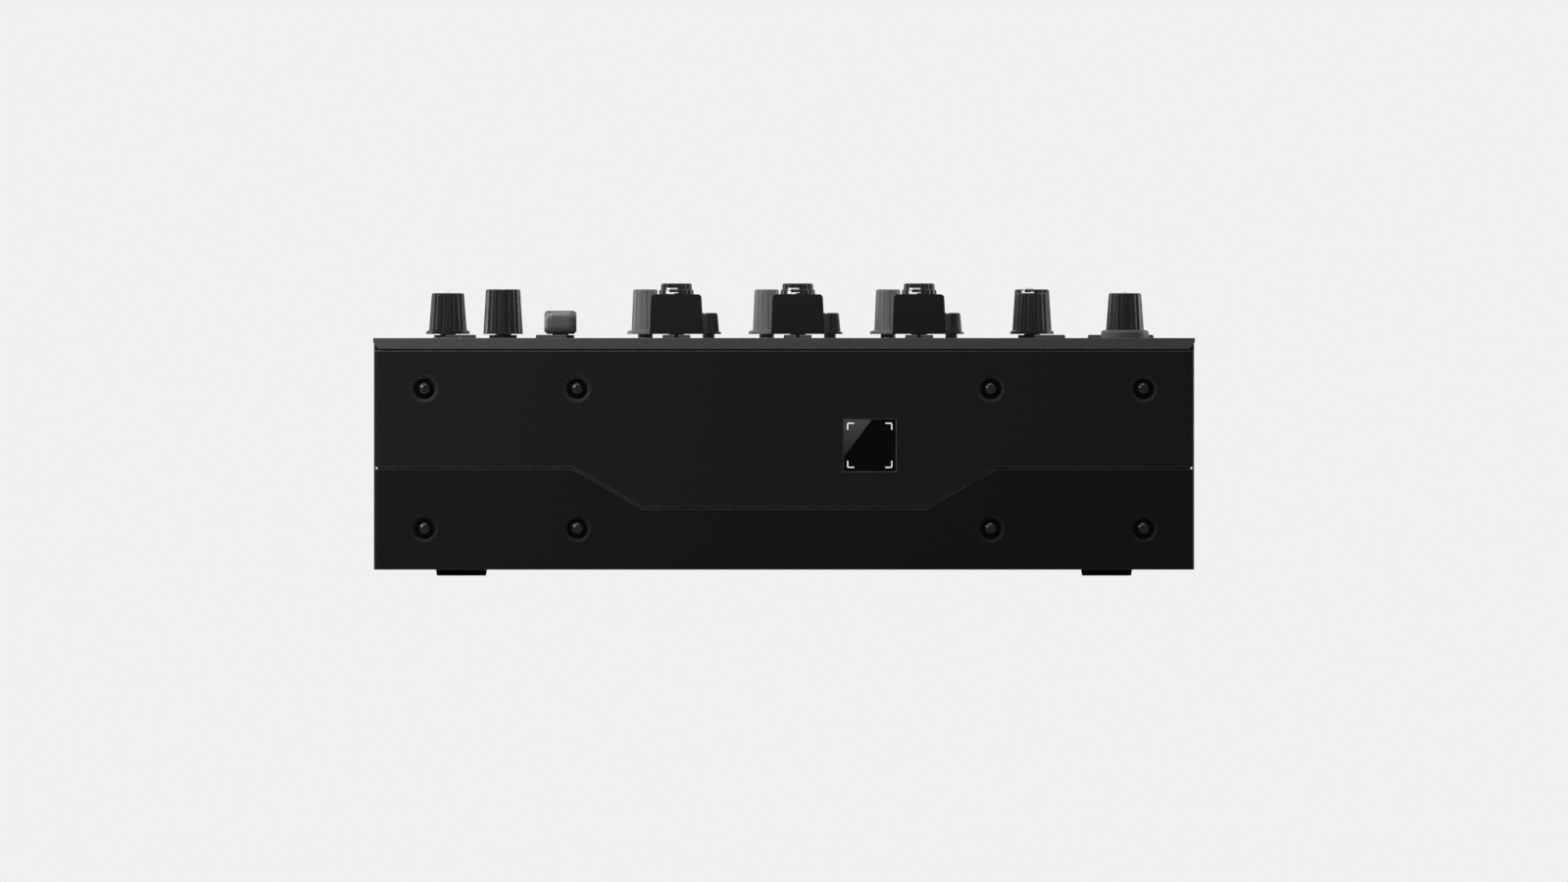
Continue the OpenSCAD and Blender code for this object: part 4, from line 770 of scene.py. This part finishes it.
def meter_segments():
    """The unlit segments behind each meter's lens."""
    inks = {name: paint("segment_" + name, tuple(0.35 * c for c in linear(code)))
            for name, _, code in METER_COLORS}
    boxes = sorted(islands("level_meters"), key=lambda box: box[0].x)
    total = sum(count for _, count, _ in METER_COLORS)
    for c, (low, high) in zip(CHANNELS, boxes):
        pitch = (high.y - low.y) / (total + 1)
        x = (low.x + high.x) / 2
        w = 0.6 * (high.x - low.x)
        index = 0
        for name, count, _ in METER_COLORS:
            mesh = bmesh.new()
            for _ in range(count):
                y = low.y + pitch * (index + 1)
                add_slab(mesh, bar_points(x, y, w, 0.55 * pitch, PRINT_Z), INK)
                index += 1
            finish_piece(f"ch{c}_meter_{name}", mesh, inks[name], "chassis")


def window_marks():
    """Four plain corner marks on the front window."""
    low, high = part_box("front_window")
    centre = (low + high) / 2
    inset = 1.2 * MM
    arm = 2.6 * MM
    thick = 0.4 * MM
    half = (high.x - low.x) / 2 - inset
    mesh = bmesh.new()
    for sx in (-1, 1):
        for sz in (-1, 1):
            corner = centre + Vector((sx * half, 0, sz * half))
            outer = [(0, arm), (0, thick), (thick, 0), (arm, 0), (arm, thick), (1.4 * thick, thick),
                     (thick, 1.4 * thick), (thick, arm)]
            points = [Vector((corner.x - sx * u, low.y - LIFT, corner.z - sz * v)) for u, v in outer]
            if sx * sz > 0:
                points.reverse()
            add_slab(mesh, points, INK, Vector((0, -1, 0)))
    finish_piece("window_marks", mesh, INK_WHITE, "chassis")


def seam_ends():
    """The closed rear end of the groove that the seam makes along each side."""
    lower = [v.co for v in NODES["lower_case"].data.vertices]
    upper = [v.co for v in NODES["upper_case"].data.vertices]
    side = max(v.x for v in lower)
    low = max(v.z for v in lower if v.x > side - LIFT) + LIFT
    high = min(v.z for v in upper if v.x > side - LIFT) - LIFT
    back = max(v.y for v in lower if v.x > side - LIFT)
    width = 0.75 * MM
    length = 3 * MM
    mesh = bmesh.new()
    for sign in (-1, 1):
        x = sign * (side - width / 2 - LIFT)
        add_slab(mesh, bar_points(x, back - length, width, length, low), high - low)
    finish_piece("seam_ends", mesh, MATERIALS["lower_case"], "chassis")


def rear_numbers():
    """Channel numbers over the phono blocks."""
    mesh = bmesh.new()
    columns, rows = phono_axes()
    pairs = list(zip(columns[::2], columns[1::2]))
    y = REAR_Y + LIFT + INK / 2
    z = rows[1] + 11 * MM
    size = 5 * MM
    upright = math.radians(90)
    facing_back = math.radians(180)
    for c, (left, right) in zip(CHANNELS, pairs):
        add_digits(mesh, str(c), (left + right) / 2, y, z, size, upright, facing_back)
    finish_piece("rear_numbers", mesh, INK_WHITE, "chassis")


# ---------- stage ----------

BACKGROUND = linear("f0f0f0")
FLOOR_R = 2.4
FLOOR_COLOR = linear("e6e6e6")
FADE_START = 0.3
FADE_END = 0.95
ROOM_LIGHT = 0.32


def make_floor():
    """A pale round floor that fades into the background at its edge."""
    mesh = bmesh.new()
    bmesh.ops.create_circle(mesh, cap_ends=True, segments=96, radius=FLOOR_R)
    data = bpy.data.meshes.new("floor")
    mesh.to_mesh(data)
    mesh.free()
    floor = bpy.data.objects.new("floor", data)
    bpy.context.scene.collection.objects.link(floor)
    s = Shader("floor_paper")
    x, y, _ = s.split()
    radius = s.math("SQRT", s.math("ADD", s.math("POWER", x, 2.0), s.math("POWER", y, 2.0)))
    diffuse = s.tree.nodes.new("ShaderNodeBsdfDiffuse")
    s.put(diffuse.inputs["Color"], FLOOR_COLOR)
    clear = s.tree.nodes.new("ShaderNodeBsdfTransparent")
    blend = s.tree.nodes.new("ShaderNodeMixShader")
    s.put(blend.inputs[0], s.remap(radius, FADE_START, FADE_END))
    s.tree.links.new(diffuse.outputs[0], blend.inputs[1])
    s.tree.links.new(clear.outputs[0], blend.inputs[2])
    s.tree.links.new(blend.outputs[0], s.output.inputs[0])
    data.materials.append(s.material)


def make_world():
    """Even studio light, and the pale background that the camera sees."""
    world = bpy.data.worlds.new("studio")
    bpy.context.scene.world = world
    world.use_nodes = True
    tree = world.node_tree
    tree.nodes.clear()
    output = tree.nodes.new("ShaderNodeOutputWorld")
    light = tree.nodes.new("ShaderNodeBackground")
    light.inputs["Color"].default_value = (1, 1, 1, 1)
    light.inputs["Strength"].default_value = ROOM_LIGHT
    seen = tree.nodes.new("ShaderNodeBackground")
    seen.inputs["Color"].default_value = (*BACKGROUND, 1)
    seen.inputs["Strength"].default_value = 1.0
    path = tree.nodes.new("ShaderNodeLightPath")
    seen_by = path.outputs["Is Camera Ray"]
    for ray in ("Is Glossy Ray", "Is Transmission Ray"):
        either = tree.nodes.new("ShaderNodeMath")
        either.operation = "MAXIMUM"
        tree.links.new(seen_by, either.inputs[0])
        tree.links.new(path.outputs[ray], either.inputs[1])
        seen_by = either.outputs[0]
    blend = tree.nodes.new("ShaderNodeMixShader")
    tree.links.new(seen_by, blend.inputs[0])
    tree.links.new(light.outputs[0], blend.inputs[1])
    tree.links.new(seen.outputs[0], blend.inputs[2])
    tree.links.new(blend.outputs[0], output.inputs[0])


def add_lamp(name, place, target, size, power, spread=180):
    """An area lamp turned to a target, with its spread in degrees."""
    lamp = bpy.data.lights.new(name, "AREA")
    lamp.shape = "RECTANGLE"
    lamp.size, lamp.size_y = size
    lamp.energy = power
    lamp.spread = math.radians(spread)
    holder = bpy.data.objects.new(name, lamp)
    holder.location = place
    holder.rotation_euler = (Vector(target) - Vector(place)).to_track_quat("-Z", "Y").to_euler()
    bpy.context.scene.collection.objects.link(holder)


def make_lamps():
    """A near key at the left, a long soft light over the front, and strips that rim both sides."""
    front_left = (-0.16, FRONT_Y, 0.08)
    centre = (0, 0, 0.06)
    over_panel = (0, 0, 0.1)
    strip = (0.25, 0.8)
    add_lamp("key_lamp", (-0.42, -0.5, 0.34), front_left, size=(0.2, 0.2), power=0.62, spread=80)
    add_lamp("top_lamp", (-0.15, -0.75, 1.25), centre, size=(1.0, 0.3), power=12)
    add_lamp("left_lamp", (-1.2, 0.45, 0.35), over_panel, size=strip, power=2.2, spread=100)
    add_lamp("right_lamp", (1.2, 0.4, 0.35), over_panel, size=strip, power=2.6, spread=100)


PHOTO_W = 1600
PIXEL = 0.3625 * MM       # one photo pixel
MIDDLE_Z = 49.8 * MM      # height of the photo's centre
CAMERA_GAP = 1.0


def make_camera():
    """A level camera without perspective, square to the front wall, as the photograph shows it."""
    data = bpy.data.cameras.new("camera")
    data.type = "ORTHO"
    data.ortho_scale = PHOTO_W * PIXEL
    camera = bpy.data.objects.new("camera", data)
    camera.location = (0, FRONT_Y - CAMERA_GAP, MIDDLE_Z)
    camera.rotation_euler = (math.radians(90), 0, 0)
    bpy.context.scene.collection.objects.link(camera)
    bpy.context.scene.camera = camera


dress_nodes()
print_panel()
knob_pointers()
fader_lines()
meter_segments()
window_marks()
seam_ends()
rear_numbers()
make_floor()
make_world()
make_lamps()
make_camera()
bpy.context.scene.view_settings.view_transform = "Standard"
